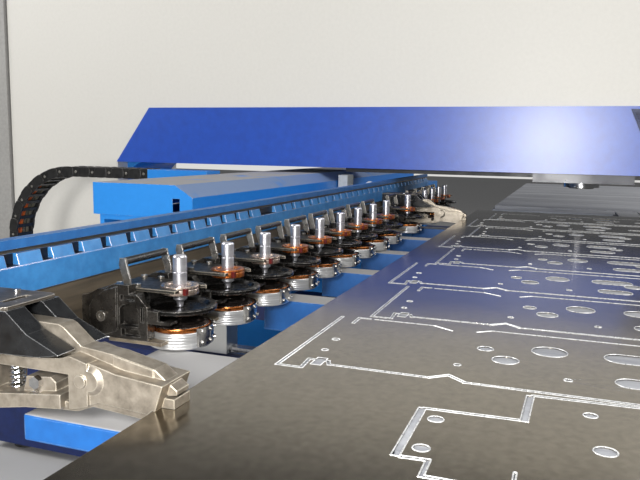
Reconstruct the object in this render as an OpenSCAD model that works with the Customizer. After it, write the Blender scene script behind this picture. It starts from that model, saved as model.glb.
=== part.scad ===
// CNC punch press with a C-frame and a straight tool magazine on its transverse rail.
// The origin is on the floor under the punch axis. X runs along the rail, Y towards the
// column and Z up. Heights inside a station are counted from the sheet plane.

/* [Machine] */
// Height of the sheet plane over the floor
pass_h = 1000; // [980:5:1040]
// Punch axis to the back of the throat
throat_depth = 2393; // [2380:1:2420]
// Depth of the column behind the throat
column_d = 726; // [640:1:820]
// Height of the C-frame with its covers
frame_h = 2280; // [2180:10:2400]
// Width of the C-frame over its covers
frame_w = 600; // [560:10:680]
// Width of the welded C-frame itself
weld_w = 420; // [380:10:460]
// Plate thickness of the welded C-frame
weld_t = 60; // [40:5:80]
// Sheet plane to the underside of the upper arm
arm_gap = 205; // [200:1:240]
// Sheet plane down to the top of the lower arm
lower_gap = 140; // [130:1:160]
// Reach of the upper arm in front of the punch axis
nose_reach = 560; // [520:10:640]
// Reach of the lower arm in front of the punch axis
lower_reach = 270; // [240:5:280]
// Radius of the throat's corners
throat_r = 120; // [60:5:160]

/* [Covers] */
// Sheet thickness of the covers
skin_t = 3; // [2:0.5:4]
// Height of the coloured band along the arm
band_h = 290; // [240:5:320]
// How far the band's top end lies in front of its lower end
band_slant = 212; // [150:1:260]
// How far the band stands proud of the side cover
band_proud = 10; // [6:1:16]
// Slope on the nose above the band
nose_chamfer = 250; // [180:10:300]
// Length of the vent pad along the band's lower front end
vent_l = 330; // [280:5:350]
// Width of one slat of the vent pad
slat_w = 6; // [4:0.5:8]
// Depth of the rear cabinet
rear_d = 520; // [440:10:600]

/* [Head] */
// Width of the head box across the arm
head_w = 430; // [400:10:460]
// Length of the head box along the arm
head_l = 425; // [400:5:450]
// Sheet plane to the underside of the head box
head_gap = 162; // [160:1:175]
// Radius of the ram
ram_r = 80; // [70:1:90]
// Radius of the punch chuck
chuck_r = 58; // [50:1:60]
// Sheet plane to the underside of the raised chuck
chuck_gap = 130; // [128:1:138]
// Radius of a punch shank
shank_r = 12.3; // [11:0.1:12.5]

/* [Rail] */
// Distance between two stations of the magazine
pitch = 180; // [176:1:190]
// Number of stations along the rail
stations = 20; // [19:1:20]
// Place of the rail's middle along X as drawn
rail_x = -1296; // [-1330:1:-1260]
// Place of the tool line along Y as drawn
tool_y = 686; // [680:1:692]
// Tool line to the rail's steel face
face_reach = 152; // [150:1:160]
// Depth of the rail beam
rail_d = 100; // [90:1:110]
// Sheet plane to the top of the rail
rail_top = 157; // [154:1:158]
// Sheet plane down to the underside of the rail
rail_drop = 40; // [34:1:44]
// Spacing of the tabs of the rack strip
tab_pitch = 75; // [72:1:80]
// Width of one tab
tab_w = 50; // [44:1:56]

/* [Tool] */
// Height of a punch over the sheet plane
punch_h = 111; // [104:1:116]
// Radius of an alignment ring
ring_r = 47; // [44:0.5:49]
// Radius of a stripper disc
stripper_r = 65; // [62:0.5:67]
// Radius of a die
die_r = 50; // [46:0.5:50]
// Height of a die
die_h = 42; // [38:0.5:42]
// Half width of a tool cassette
cassette_hw = 78; // [74:1:82]
// Thickness of the cassette's arm plate
arm_t = 6; // [5:0.5:7]
// Radius of a handle grip
grip_r = 6.5; // [5:0.5:7]

/* [Clamp] */
// Half width of a clamp's jaws
jaw_hw = 34; // [30:1:36]
// Half width of a clamp's hood
hood_hw = 46; // [44:1:52]
// Radius of the jaw's pivot pin
pivot_r = 8; // [6:0.5:9]
// Radius of the clamp spring's coil
coil_r = 9; // [8:0.5:10]

/* [Sheet] */
// Length of the sheet in the clamps
sheet_l = 3000; // [2900:50:3100]
// Width of the sheet in the clamps
sheet_w = 1250; // [1150:50:1300]
// Thickness of the sheet
sheet_t = 1.5; // [1:0.5:2]
// How far a clamp's tip reaches over the sheet
bite = 21; // [18:1:24]

/* [Table] */
// Half of the gap between the two moving tables
table_gap = 400; // [395:1:430]
// Length of one moving table along X
table_l = 2870; // [2700:10:2900]
// Tool line to the table's edge at the magazine
table_back = 241; // [230:1:250]
// Depth of a moving table along Y
table_d = 1240; // [1150:10:1300]
// Number of cross beams in one moving table
beams = 7; // [5:1:7]
// Spacing of the cross beams
beam_pitch = 398; // [394:1:406]
// Width of a cross beam
beam_w = 56; // [50:1:70]
// Height of a cross beam
beam_h = 120; // [100:5:130]
// Gap between two brush mats
mat_gap = 8; // [4:1:16]

/* [Slide] */
// Length of the cross slide along X
slide_l = 3240; // [3100:10:3300]
// Tool line to the front of the slide's housing
house_reach = 469; // [450:1:480]
// Depth of the housing along Y
house_d = 373; // [340:1:380]
// Sheet plane to the top of the housing
house_top = 176; // [170:1:184]
// Height of the sloped front edge of the housing
house_bevel = 38; // [30:1:44]
// Outer bend radius of the energy chain
chain_r = 370; // [340:5:380]
// Height of one chain link
link_h = 50; // [44:1:56]
// Width of the energy chain
chain_w = 120; // [100:2:130]

/* [Hidden] */
$fn = 64;
// Gap between two parts that touch or slide
seat = 0.3;
eps = 0.5;

blue = "#1f7fd0";
deep_blue = "#1d3fa8";
navy = "#14162c";
cream = "#d9d5c8";
iron = "#3a3836";
steel = "#a7a29a";
bright = "#cfd0d2";
copper = "#c07a45";
jaw_tone = "#a89d86";
black = "#17171a";

// Main levels and planes
arm_z = pass_h + arm_gap;
lower_z = pass_h - lower_gap;
band_z = arm_z + band_h;
column_y = throat_depth + column_d;
plinth_h = 120;
foot_h = 30;

// Rail and stations
rail_l = stations * pitch;
rail_x0 = rail_x - rail_l / 2;
face_y = tool_y + face_reach;
rail_back = face_y + rail_d;
flange_t = 15;
flange_d = 16;
clamp_at = [1, 14];
tool_at = [3, 4, 5, 6, 7, 8, 9, 10, 11, 13, 15, 16, 17, 18];
function station_x(k) = rail_x0 + (k + 0.5) * pitch;

// Half width of a cassette's body and the thickness of its side cheeks
body_hw = cassette_hw - 6;
cheek_t = 4;
bolt_y = 107;
bolt_z = 10;

// Levels inside a tool cassette, from the sheet plane
arm_top = 57;
arm_low = arm_top - arm_t;
ring_h = 11;
ring_top = arm_top + 2.5;
ring_low = ring_top - ring_h;
die_top = -3;
die_low = die_top - die_h;
finger_w = 6;
strip_low = 16;
strip_h = 10;
body_low = -27;
plate_t = 6;

// Shoulders beside the arm plate that carry the handle
hump_y = 56;
hump_z = 66;
hump_w = 20;
plate_back = 112;

// Clamp levels, from the sheet plane, and places, from the tool line
hood_back = face_reach - 6 - 2 * seat;
carrier_z = 44;
web_hw = 22;
sheet_edge = -201;
pivot_y = -105;
pivot_z = 24;
jaw_play = 1.5;
hood_z = 101;
cap_t = 4;
block_y = 38;
rib_hw = 13;
channel_hw = rib_hw + 2;
front_hw = jaw_hw - 3.5;
tongue_hw = jaw_hw - 9;
coil_y = 22;
nut_y = -32;
nut_z = [10.4, -6.8];
nut_r = 8.4;
coil_n = 7;

// Table levels
brush_h = 18;

// Cuts in the sheet
slit_w = 5;
cut_parts = 8;
part_pitch = 320;
part_shift = 48;
cut_end = -1100;

deck_t = 28;
deck_z = pass_h - sheet_t - seat - brush_h - deck_t;
beam_top = deck_z - seat;
beam_low = beam_top - beam_h;
table_y1 = tool_y - table_back;
table_y0 = table_y1 - table_d;
beam_end = tool_y + 20;
tie_h = 60;
tie_z = beam_low - seat - tie_h;
arm_beam_h = 90;
arm_beam_w = 140;
arm_beam_z = tie_z - seat - arm_beam_h;
arm_beam_x = table_gap + beam_w / 2 + 2 * beam_pitch;

arm_wall = 8;
mats = 7;
mat_pitch = (table_l - mat_gap) / mats;
tie_w = 90;
tie_at = [table_y0 + 180, table_y1 - 180 - tie_w, table_y1 + 60];

// Slide
house_y0 = tool_y + house_reach;
house_y1 = house_y0 + house_d;
beam_z0 = pass_h - 96;
beam_z1 = pass_h + 71;
slide_y0 = rail_back + 37;
guide_h = 30;
guide_base = 520;

// Shared shapes

module along_x(w)
  rotate([90, 0, 90]) translate([0, 0, -w / 2]) linear_extrude(w) children();

module box(x0, x1, y0, y1, z0, z1)
  translate([x0, y0, z0]) cube([x1 - x0, y1 - y0, z1 - z0]);

module pipe(ro, ri, h) difference() {
  cylinder(r = ro, h = h);
  translate([0, 0, -1]) cylinder(r = ri, h = h + 2);
}

module lying(r, l) rotate([0, 90, 0]) cylinder(r = r, h = l, center = true);

module mirrored() {
  children();
  mirror([1, 0, 0]) children();
}

module at_tools() for (k = tool_at) translate([station_x(k), tool_y, pass_h]) children();

module at_clamp(k) translate([station_x(k), tool_y, pass_h]) children();

module at_clamps() for (k = clamp_at) at_clamp(k) children();

// C-frame: two side plates and a web all round

module frame_outline(inset = 0) difference() {
  polygon([
    [-lower_reach + inset, plinth_h + inset], [column_y - inset - 60, plinth_h + inset],
    [column_y - inset - 60, frame_h - inset - 60], [-nose_reach + 220 + inset, frame_h - inset - 60],
    [-nose_reach + 60 + inset, band_z + 120], [-nose_reach + 60 + inset, plinth_h + inset + 1]
  ]);
  translate([-nose_reach, plinth_h - 1])
    square([nose_reach - lower_reach + inset, lower_z - plinth_h + 1]);
  throat_outline(inset);
}

module throat_outline(inset = 0) {
  y1 = throat_depth + inset;
  z0 = lower_z - inset;
  z1 = arm_z + inset;
  translate([-nose_reach - 10, z0]) square([nose_reach + 10 + y1 - throat_r, z1 - z0]);
  translate([y1 - throat_r - 1, z0 + throat_r]) square([throat_r + 1, z1 - z0 - 2 * throat_r]);
  for (z = [z0 + throat_r, z1 - throat_r]) translate([y1 - throat_r, z]) circle(throat_r);
}

module c_frame() color(blue) difference() {
  along_x(weld_w) frame_outline();
  along_x(weld_w - 2 * weld_t) frame_outline(weld_t);
  translate([0, 0, arm_z - 1]) cylinder(r = ram_r + 15, h = weld_t + 2);
  translate([0, 0, lower_z - weld_t - 1]) cylinder(r = scrap_r, h = weld_t + 2);
}

scrap_r = 46;

module plinth() color(blue) difference() {
  box(-weld_w / 2 - 60, weld_w / 2 + 60, -lower_reach, column_y, foot_h, plinth_h - seat);
  box(-weld_w / 2 + 40, weld_w / 2 - 40, 200, column_y - 60, foot_h - 1, plinth_h - 40);
}

function foot_places() = [
  for (x = [-1, 1], y = [-lower_reach + 80, 1300, column_y - 120]) [x * (weld_w / 2 + 10), y],
  for (x = [-1, 1], y = [guide_y0 + 120, guide_y1 - 120]) [x * arm_beam_x, y]
];

module levelling_feet() color(iron) {
  cylinder(r = 90, h = foot_h - seat);
  for (p = foot_places()) translate([p.x, p.y, 0]) difference() {
    union() {
      cylinder(r = 60, h = 14);
      cylinder(r = 24, h = foot_h - seat);
    }
    translate([0, 0, -1]) cylinder(r = anchor_r, h = foot_h + 2);
  }
}

anchor_r = 9;

// Covers of the C-frame: folded trays with an open back

module cover_outline(inset = 0) polygon([
  [-nose_reach + inset, band_z + inset],
  [throat_depth - band_slant + inset * 0.8, band_z + inset],
  [throat_depth + inset, arm_z + inset * 0.3],
  [throat_depth + inset, plinth_h + inset],
  [column_y - inset, plinth_h + inset],
  [column_y - inset, frame_h - inset],
  [-nose_reach + nose_chamfer + inset * 0.4, frame_h - inset],
  [-nose_reach + inset, frame_h - nose_chamfer - inset * 0.4]
]);

tray_d = (frame_w - weld_w) / 2 - seat;

module side_cover() color(cream) translate([-frame_w / 2 + tray_d / 2, 0, 0]) difference() {
  along_x(tray_d) cover_outline();
  translate([skin_t, 0, 0]) along_x(tray_d) cover_outline(skin_t);
}

module band_outline(inset = 0) polygon([
  [-nose_reach + inset, arm_z + inset],
  [throat_depth - inset * 1.8, arm_z + inset],
  [throat_depth - band_slant - inset * 0.3, band_z - seat - inset],
  [-nose_reach + inset, band_z - seat - inset]
]);

module vent_outline(grow = 0) polygon([
  [-nose_reach + 60 - grow, band_z - 12 + grow],
  [-nose_reach + 60 + vent_l + grow, band_z - 12 + grow],
  [-nose_reach + 60 + vent_l - 74 + grow, arm_z + 108 - grow],
  [-nose_reach + 60 - grow, arm_z + 108 - grow]
]);

module side_band() color(deep_blue)
  translate([-frame_w / 2 - band_proud + (tray_d + band_proud) / 2, 0, 0]) difference() {
    along_x(tray_d + band_proud) band_outline();
    translate([skin_t, 0, 0]) along_x(tray_d + band_proud) band_outline(skin_t);
    along_x(3 * tray_d) vent_outline(seat);
  }

vent_t = 16;

module side_vent() color(navy)
  translate([-frame_w / 2 - band_proud + vent_t / 2 - 4, 0, 0]) {
    difference() {
      along_x(vent_t) vent_outline();
      along_x(vent_t + 2) vent_outline(-14);
    }
    intersection() {
      along_x(vent_t - 8) vent_outline(-14 + eps);
      for (z = [arm_z + 100 : 2.4 * slat_w : band_z])
        box(-vent_t, vent_t, -nose_reach, 200, z, z + slat_w);
    }
    translate([vent_t / 2 - 2, 0, 0]) along_x(3) vent_outline(-14 + eps);
  }

module nose_cover() color(cream) difference() {
  along_x(weld_w - 2 * seat) nose_outline();
  along_x(weld_w + 2) translate([skin_t, 0]) nose_outline(true);
}

module nose_outline(inner = false) polygon([
  [-nose_reach, arm_z + (inner ? -1 : 0)],
  [-nose_reach + 60 - seat, arm_z + (inner ? -1 : 0)],
  [-nose_reach + 60 - seat, band_z + 120],
  [-nose_reach + 220 - seat, frame_h - 60],
  [-nose_reach + nose_chamfer, frame_h - (inner ? skin_t : 0)],
  [-nose_reach, frame_h - nose_chamfer]
]);

module top_cover() color(cream) difference() {
  box(-weld_w / 2 + seat, weld_w / 2 - seat, -nose_reach + nose_chamfer + seat, column_y,
    frame_h - 60 + seat, frame_h);
  box(-weld_w / 2 + skin_t, weld_w / 2 - skin_t, -nose_reach + nose_chamfer + skin_t,
    column_y - skin_t, frame_h - 61, frame_h - skin_t);
}

pan_h = 22;

module arm_pan() color(black) difference() {
  box(-weld_w / 2, weld_w / 2, -nose_reach + 60, tool_y + 420, arm_z - pan_h, arm_z - seat);
  box(-weld_w / 2 + 4, weld_w / 2 - 4, -nose_reach + 64, tool_y + 416, arm_z - pan_h + 4, arm_z);
  box(-head_w / 2 - seat, head_w / 2 + seat, -head_l / 2 - seat, head_l / 2 + seat,
    arm_z - pan_h - 1, arm_z + 1);
}

module rear_cabinet() color("#b9b8b4") {
  cabinet_shell();
  box(-weld_w / 2 + 20, weld_w / 2 - 20, column_y - 60 + seat, column_y + 12 + eps,
    plinth_h + 20, frame_h - 80);
}

module cabinet_shell() difference() {
  translate([0, column_y + 12, 0]) rotate([90, 0, 0]) mirror([0, 0, 1])
    linear_extrude(rear_d) polygon([
      [-frame_w / 2 - 14, 0], [frame_w / 2 + 14, 0], [frame_w / 2 + 14, frame_h - 12],
      [frame_w / 2 + 2, frame_h], [-frame_w / 2 - 2, frame_h], [-frame_w / 2 - 14, frame_h - 12]
    ]);
  box(-frame_w / 2 + 20, frame_w / 2 - 20, column_y + 42, column_y + rear_d - 30, -1,
    frame_h - 40);
}

module base_covers() color(blue) mirrored() difference() {
  box(-frame_w / 2, -weld_w / 2 - seat, -lower_reach, throat_depth - seat, plinth_h,
    lower_z - 40);
  box(-frame_w / 2 + skin_t, -weld_w / 2 + 1, -lower_reach + skin_t, throat_depth - skin_t,
    plinth_h + skin_t, lower_z - 40 - skin_t);
}

// Head: a guided ram with a turning chuck

module head_housing() color(navy) difference() {
  box(-head_w / 2, head_w / 2, -head_l / 2, head_l / 2, pass_h + head_gap, arm_z - seat);
  translate([0, 0, pass_h]) cylinder(r = ram_r + seat, h = arm_gap + 10);
  for (x = [-1, 1], y = [-1, 1])
    translate([x * (head_w / 2 - 24), y * (head_l / 2 - 24), pass_h]) cylinder(r = 7, h = head_gap + 20);
}

ram_len = 420;

module ram_cylinder() color(steel) translate([0, 0, arm_z + weld_t + seat])
  pipe(ram_r + 60, ram_r + seat, ram_len - 120);

module ram() color(bright) difference() {
  translate([0, 0, pass_h + chuck_gap + 6]) cylinder(r = ram_r, h = ram_len);
  translate([0, 0, pass_h]) cylinder(r = chuck_r - 14 + seat, h = chuck_gap + 130 + seat);
  translate([0, 0, pass_h]) cylinder(r = chuck_r + seat, h = chuck_gap + 24 + seat);
}

module punch_spindle() color(steel) translate([0, 0, pass_h + chuck_gap]) difference() {
  union() {
    cylinder(r1 = chuck_r - 4, r2 = chuck_r, h = 4);
    translate([0, 0, 4 - eps]) cylinder(r = chuck_r, h = 20 + eps);
    cylinder(r = chuck_r - 14, h = 130);
  }
  translate([0, 0, -1]) cylinder(r = shank_r + 0.1, h = 61);
  for (a = [0 : 60 : 300]) rotate(a) translate([chuck_r - 20, 0, -1]) cylinder(r = 3.5, h = 8);
}

seat_h = 8;
die_head = 10;

module die_housing() color(steel) translate([0, 0, lower_z + seat]) difference() {
  cylinder(r = 150, h = pass_h + die_low - die_head - 12 - lower_z);
  translate([0, 0, 30]) cylinder(r = 100 + seat, h = 200);
  translate([0, 0, -1]) cylinder(r = scrap_r, h = 60);
}

module die_spindle() color(bright) difference() {
  z0 = lower_z + 30 + 2 * seat;
  z1 = pass_h + die_low - die_head;
  translate([0, 0, z0]) cylinder(r = 100, h = z1 - z0);
  translate([0, 0, z0 - 1]) cylinder(r = scrap_r - 6, h = 200);
  translate([0, 0, z1 - seat_h]) cylinder(r = die_r + 0.2, h = seat_h + 1);
  for (a = [0 : 90 : 270]) rotate(a) translate([78, 0, z1 - 9]) cylinder(r = 6.5, h = 10);
}

// Fixed table between the two moving ones, with the flap that drops finished parts

flap_w = 500;
flap_y1 = -300;
flap_t = 20;
centre_x = table_gap - 14;
centre_y0 = -980;
centre_y1 = -170;
centre_z = pass_h - sheet_t - seat - brush_h;

module centre_table() color("#5d646c") {
  difference() {
    box(-centre_x, centre_x, centre_y0, centre_y1, centre_z - deck_t, centre_z);
    box(-flap_w / 2 - 4, flap_w / 2 + 4, flap_y1 - flap_w - 4, flap_pin_y + 14, centre_z - deck_t - 1,
      centre_z + 1);
  }
  for (s = [-1, 1]) {
    box(s * centre_x - 30 * (s + 1), s * centre_x + 30 * (1 - s), centre_y0, -lower_reach - seat,
      centre_z - deck_t - 110, centre_z - deck_t);
    box(s * 330 - 30, s * 330 + 30, centre_y0 + 20, centre_y0 + 80, 0, centre_z - deck_t - 110);
    box(s * centre_x - 30 * (s + 1), s * centre_x + 30 * (1 - s), -lower_reach - seat, 60,
      lower_z - 100, lower_z - 40);
  }
  box(-centre_x, centre_x, -lower_reach - 60, -lower_reach - seat, lower_z - 100,
    centre_z - deck_t);
  flap_ears();
}

flap_pin_y = flap_y1 + 2;
flap_pin_z = pass_h - sheet_t - flap_t - 10;

module flap_ears() for (s = [-1, 1]) difference() {
  union() {
    translate([s * (flap_w / 2 - 22), flap_pin_y, flap_pin_z]) lying(9.2, 16);
    box(s * (flap_w / 2 - 22) - 8, s * (flap_w / 2 - 22) + 8, flap_pin_y - 9, flap_pin_y + 9,
      centre_z - deck_t - eps, flap_pin_z);
  }
  translate([0, flap_pin_y, flap_pin_z]) lying(5 + seat, flap_w);
}

module centre_brushes() color(iron) translate([0, 0, centre_z + seat / 2]) {
  y0 = flap_y1 - flap_w;
  box(-centre_x + 10, centre_x - 10, centre_y0 + 10, y0 - 12, 0, brush_h);
  box(-centre_x + 10, centre_x - 10, flap_pin_y + 18, centre_y1 - 10, 0, brush_h);
  mirrored() box(flap_w / 2 + 12, centre_x - 10, y0 - 12 + mat_gap, flap_pin_y + 18 - mat_gap, 0,
    brush_h);
}

module chute_flap() color(steel) {
  box(-flap_w / 2, flap_w / 2, flap_y1 - flap_w, flap_y1, pass_h - sheet_t - seat - flap_t,
    pass_h - sheet_t - seat);
  translate([0, flap_pin_y, flap_pin_z]) {
    lying(9, flap_w - 60 - 2 * seat);
    lying(5, flap_w - 28);
  }
  for (x = [-160, 0, 160]) box(x - 20, x + 20, flap_pin_y - 14, flap_pin_y + 5, flap_pin_z,
    pass_h - sheet_t - seat - flap_t + eps);
}

// Side stands with the guides for the slide's travel along Y

guide_y0 = -560;
guide_y1 = 2330;
stand_ties = [40, 1800];

module outriggers() color(deep_blue) mirrored() {
  difference() {
    box(arm_beam_x - 90, arm_beam_x + 90, guide_y0, guide_y1, foot_h, guide_base);
    box(arm_beam_x - 78, arm_beam_x + 78, guide_y0 + 12, guide_y1 - 12, foot_h + 12,
      guide_base - 12);
  }
  for (y = stand_ties) box(weld_w / 2 + 60, arm_beam_x - 90, y, y + 140, foot_h, plinth_h - 4);
}

module y_guides() color(bright) mirrored()
  translate([arm_beam_x, guide_y0 + 20, guide_base]) guide_bar(guide_y1 - guide_y0 - 40);

module guide_bar(l) rotate([-90, 0, 0]) mirror([0, 1, 0]) linear_extrude(l) polygon([
  [-22, 0], [22, 0], [22, 8], [16, 14], [22, 20], [22, guide_h], [-22, guide_h],
  [-22, 20], [-16, 14], [-22, 8]
]);

chain_x = -800;
chain_cz = pass_h + 194 - chain_r;
chain_cy = 2263;
chain_y0 = 1560;
tray_t = 4;

module chain_tray() color(steel) {
  z = chain_cz - chain_r - seat;
  box(chain_x - chain_w / 2 - 10, chain_x + chain_w / 2 + 10, chain_y0, chain_cy + chain_r - 20,
    z - tray_t, z);
  for (y = [chain_y0 + 20, chain_cy - 20])
    box(-arm_beam_x + 90 + seat, chain_x + 50, y, y + 40, z - tray_t - 40, z - tray_t + eps);
}

// Cross slide

module cross_beam() color(blue) {
  difference() {
    box(-slide_l / 2 + 6, slide_l / 2 - 6, slide_y0, house_y1 - 21, beam_z0, beam_z1);
    box(-slide_l / 2 - 1, slide_l / 2 + 1, slide_y0 + 16, house_y1 - 37, beam_z0 + 16, beam_z1 - 16);
  }
  mirrored() box(arm_beam_x - arm_beam_w / 2, arm_beam_x + arm_beam_w / 2, slide_y0,
    house_y1 - 40, tie_z, beam_z0 + eps);
}

module house_outline(inset = 0) polygon([
  [house_y0 + inset, beam_z1 + seat - (inset > 0 ? 1 : 0)],
  [house_y1 - inset, beam_z1 + seat - (inset > 0 ? 1 : 0)],
  [house_y1 - inset, pass_h + house_top - inset],
  [house_y0 + house_bevel * 1.65 + inset * 0.3, pass_h + house_top - inset],
  [house_y0 + inset, pass_h + house_top - house_bevel - inset * 0.6]
]);

module slide_cover() color(blue) difference() {
  along_x(slide_l) house_outline();
  along_x(slide_l - 2 * skin_t) house_outline(skin_t);
  box(-slide_l / 2 - 1, -slide_l / 2 + skin_t + 1, house_y0 + 46, house_y0 + 72, pass_h + 91,
    pass_h + 133);
}

x_guide_h = 16;
x_guide_w = 24;
x_guide_z = [pass_h - 30, pass_h + 40];
x_carriage_at = [-480, -240, 0];

module x_guides() color(bright) for (z = x_guide_z)
  box(rail_x0 + 20, rail_x0 + rail_l - 20, rail_back + seat / 2, rail_back + x_guide_h, z,
    z + x_guide_w);

module x_carriages() color(steel) for (x = x_carriage_at, z = x_guide_z) difference() {
  box(x - 60, x + 60, rail_back + 5, slide_y0 - seat / 2, z - 8, z + x_guide_w + 6);
  box(x - 61, x + 61, rail_back, rail_back + x_guide_h + seat, z - seat, z + x_guide_w + seat);
}

carriage_l = 160;
y_carriage_at = [300, 1300];

module y_carriages() color(steel) mirrored() for (y = y_carriage_at)
  translate([arm_beam_x, y, 0]) difference() {
    box(-45, 45, -carriage_l / 2, carriage_l / 2, guide_base + 9, arm_beam_z - seat);
    box(-22 - seat, 22 + seat, -carriage_l, carriage_l, guide_base, guide_base + guide_h + seat);
  }

// Two long arms under the tables and the ties that carry the cross beams
module slide_arms() color(deep_blue) mirrored() {
  translate([arm_beam_x, 0, 0]) difference() {
    box(-arm_beam_w / 2, arm_beam_w / 2, table_y0 + 30, house_y1 - 30, arm_beam_z,
      arm_beam_z + arm_beam_h);
    box(-arm_beam_w / 2 + arm_wall, arm_beam_w / 2 - arm_wall, table_y0 + 29, house_y1,
      arm_beam_z + arm_wall, arm_beam_z + arm_beam_h - arm_wall);
  }
  for (y = tie_at) difference() {
    box(table_gap, table_gap + table_l, y, y + tie_w, tie_z, tie_z + tie_h);
    box(table_gap - 1, table_gap + table_l + 1, y + 6, y + tie_w - 6, tie_z + 6,
      tie_z + tie_h - 6);
  }
}

comb_n = 8;

module hose_comb() color(bright) translate([-200, house_y0 - 60, beam_z1 + seat]) {
  cube([110, 60, 10]);
  for (i = [0 : comb_n - 1]) translate([4 + i * 13, 6, 10 - eps]) cube([6, 48, 84]);
}

module chain_bracket() color(blue)
  box(chain_x - chain_w / 2, chain_x + chain_w / 2, house_y1 + seat, chain_end - seat,
    chain_cz + chain_r - link_h, chain_cz + chain_r - 4);

chain_end = 1828;

// Side view of the energy chain: two straight runs joined by a half-round bend

module chain_band(outer, inner) difference() {
  union() {
    translate([chain_cy, chain_cz]) circle(outer, $fn = 96);
    translate([chain_end, chain_cz]) square([chain_cy - chain_end, outer]);
    translate([chain_y0, chain_cz - outer]) square([chain_cy - chain_y0, outer]);
  }
  translate([chain_cy, chain_cz]) circle(inner, $fn = 96);
  translate([chain_y0 - 1, chain_cz - inner]) square([chain_cy - chain_y0 + 1, 2 * inner]);
  translate([chain_cy - outer - 1, chain_cz - inner]) square([outer + 1, 2 * inner]);
}

module energy_chain() color(black) translate([chain_x, 0, 0]) {
  for (s = [-1, 1]) translate([s * (chain_w / 2 - 8), 0, 0])
    along_x(14) chain_band(chain_r, chain_r - link_h);
  for (a = [-80 : 20 : 80]) rotate_about_bend(a)
    box(-chain_w / 2 + 14, chain_w / 2 - 14, -9, 9, chain_r - 9, chain_r - 3);
}

module rotate_about_bend(a) translate([0, chain_cy, chain_cz]) rotate([-90 - a, 0, 0]) children();

// Moving tables

module table_beams() color(blue) for (s = [-1, 1], i = [0 : beams - 1])
  translate([s * (table_gap + beam_w / 2 + i * beam_pitch), 0, 0]) difference() {
    box(-beam_w / 2, beam_w / 2, table_y0, beam_end, beam_low, beam_top);
    box(-beam_w / 2 + 4, beam_w / 2 - 4, table_y0 - 1, beam_end - 4, beam_low + 4, beam_top - 4);
  }

module table_decks() color("#5d646c") for (x0 = [table_gap, -table_gap - table_l]) difference() {
  box(x0, x0 + table_l, table_y0, table_y1, deck_z, deck_z + deck_t);
  box(x0 + 6, x0 + table_l - 6, table_y0 + 6, table_y1 - 6, deck_z - 1, deck_z + deck_t - 6);
}

module table_brushes() color(iron) translate([0, 0, deck_z + deck_t + seat / 2]) mirrored()
  for (i = [0 : mats - 1]) box(table_gap + 4 + i * mat_pitch, table_gap + 4 + (i + 1) * mat_pitch - mat_gap,
    table_y0 + 12, table_y1 - 12, 0, brush_h);

// Transverse rail

module rail_beam() color(steel) difference() {
  box(rail_x0, rail_x0 + rail_l, face_y, rail_back, pass_h - rail_drop, pass_h + rail_top - flange_t - seat);
  box(rail_x0 - 1, rail_x0 + rail_l + 1, face_y + 10, rail_back - 10, pass_h - rail_drop + 10,
    pass_h + rail_top - flange_t - 10);
  box(rail_x0 - 1, rail_x0 + rail_l + 1, face_y - 1, face_y + 9, pass_h + rail_top - 86,
    pass_h + rail_top);
}

module rail_flange() color(blue)
  box(rail_x0, rail_x0 + rail_l, face_y - 4, face_y + flange_d, pass_h + rail_top - flange_t,
    pass_h + rail_top);

module tab_strip() color(blue) difference() {
  n = floor((rail_l - 2) / tab_pitch);
  z = rail_top - 86 + seat;
  along_x_at(rail_x0, rail_l) translate([face_y, pass_h]) polygon([
    [9 - seat, z], [-6, z], [-6, z + 43], [0, z + 63], [9 - seat, z + 63]
  ]);
  for (i = [0 : n - 1]) if (i != missing_tab + 1)
    translate([rail_x0 + 12 + i * tab_pitch, face_y - 8, pass_h + z + 45])
      cube([i == missing_tab ? tab_pitch + tab_gap : tab_gap, 16 - seat, 30]);
}

missing_tab = 17;
tab_gap = tab_pitch - tab_w;

module along_x_at(x0, l) translate([x0 + l / 2, 0, 0]) along_x(l) children();

// Tool cassette in local coordinates: the tool axis is the origin

module cassette_body() {
  w = body_hw;
  difference() {
    union() {
      along_x(2 * w) polygon([
        [20, body_low], [face_reach - seat, body_low], [face_reach - seat, 42], [133, 46],
        [plate_back + 6, 55], [plate_back, 55], [plate_back, arm_low - seat],
        [40, arm_low - seat], [20, 30]
      ]);
      for (s = [-1, 1]) translate([s * (w - hump_w / 2), 0, 0]) along_x(hump_w) polygon([
        [hump_y, arm_low - 6], [hump_y, hump_z], [86, hump_z], [104, 57], [plate_back + 1, 55],
        [plate_back + 1, arm_low - 6]
      ]);
      for (s = [-1, 1]) translate([s * (w + (cheek_t - eps) / 2), 0, 0]) along_x(cheek_t + eps)
        polygon([[79, -12], [84, -17], [112, -26], [129, -24], [133, -18], [133, 25], [127, 36],
          [103, 54], [79, 62]]);
    }
    translate([0, 0, -1.5]) cylinder(r = stripper_r + seat, h = 100);
    translate([0, 0, body_low - 30]) cylinder(r = die_r + 4 + seat, h = 60);
    for (s = [-1, 1]) translate([s * w, 0, 0]) side_recesses();
    along_x(2 * w + 60) translate([bolt_y, bolt_z]) circle(5.5);
  }
}

// Hollows in the flank of the casting, with an arched rib and a straight one between them
module side_recesses() {
  along_x(24) polygon([[38, -5], [75, -5], [75, 25], [68, 31], [57, 34], [46, 31], [38, 25]]);
  along_x(16) translate([44, 39]) square([29, 9]);
  along_x(20) polygon([[34, -22], [72, -22], [72, -10], [38, -10]]);
  along_x(12) translate([26, 4]) square([7, 26]);
}

module cassette_bodies() color(iron) at_tools() cassette_body();

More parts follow.
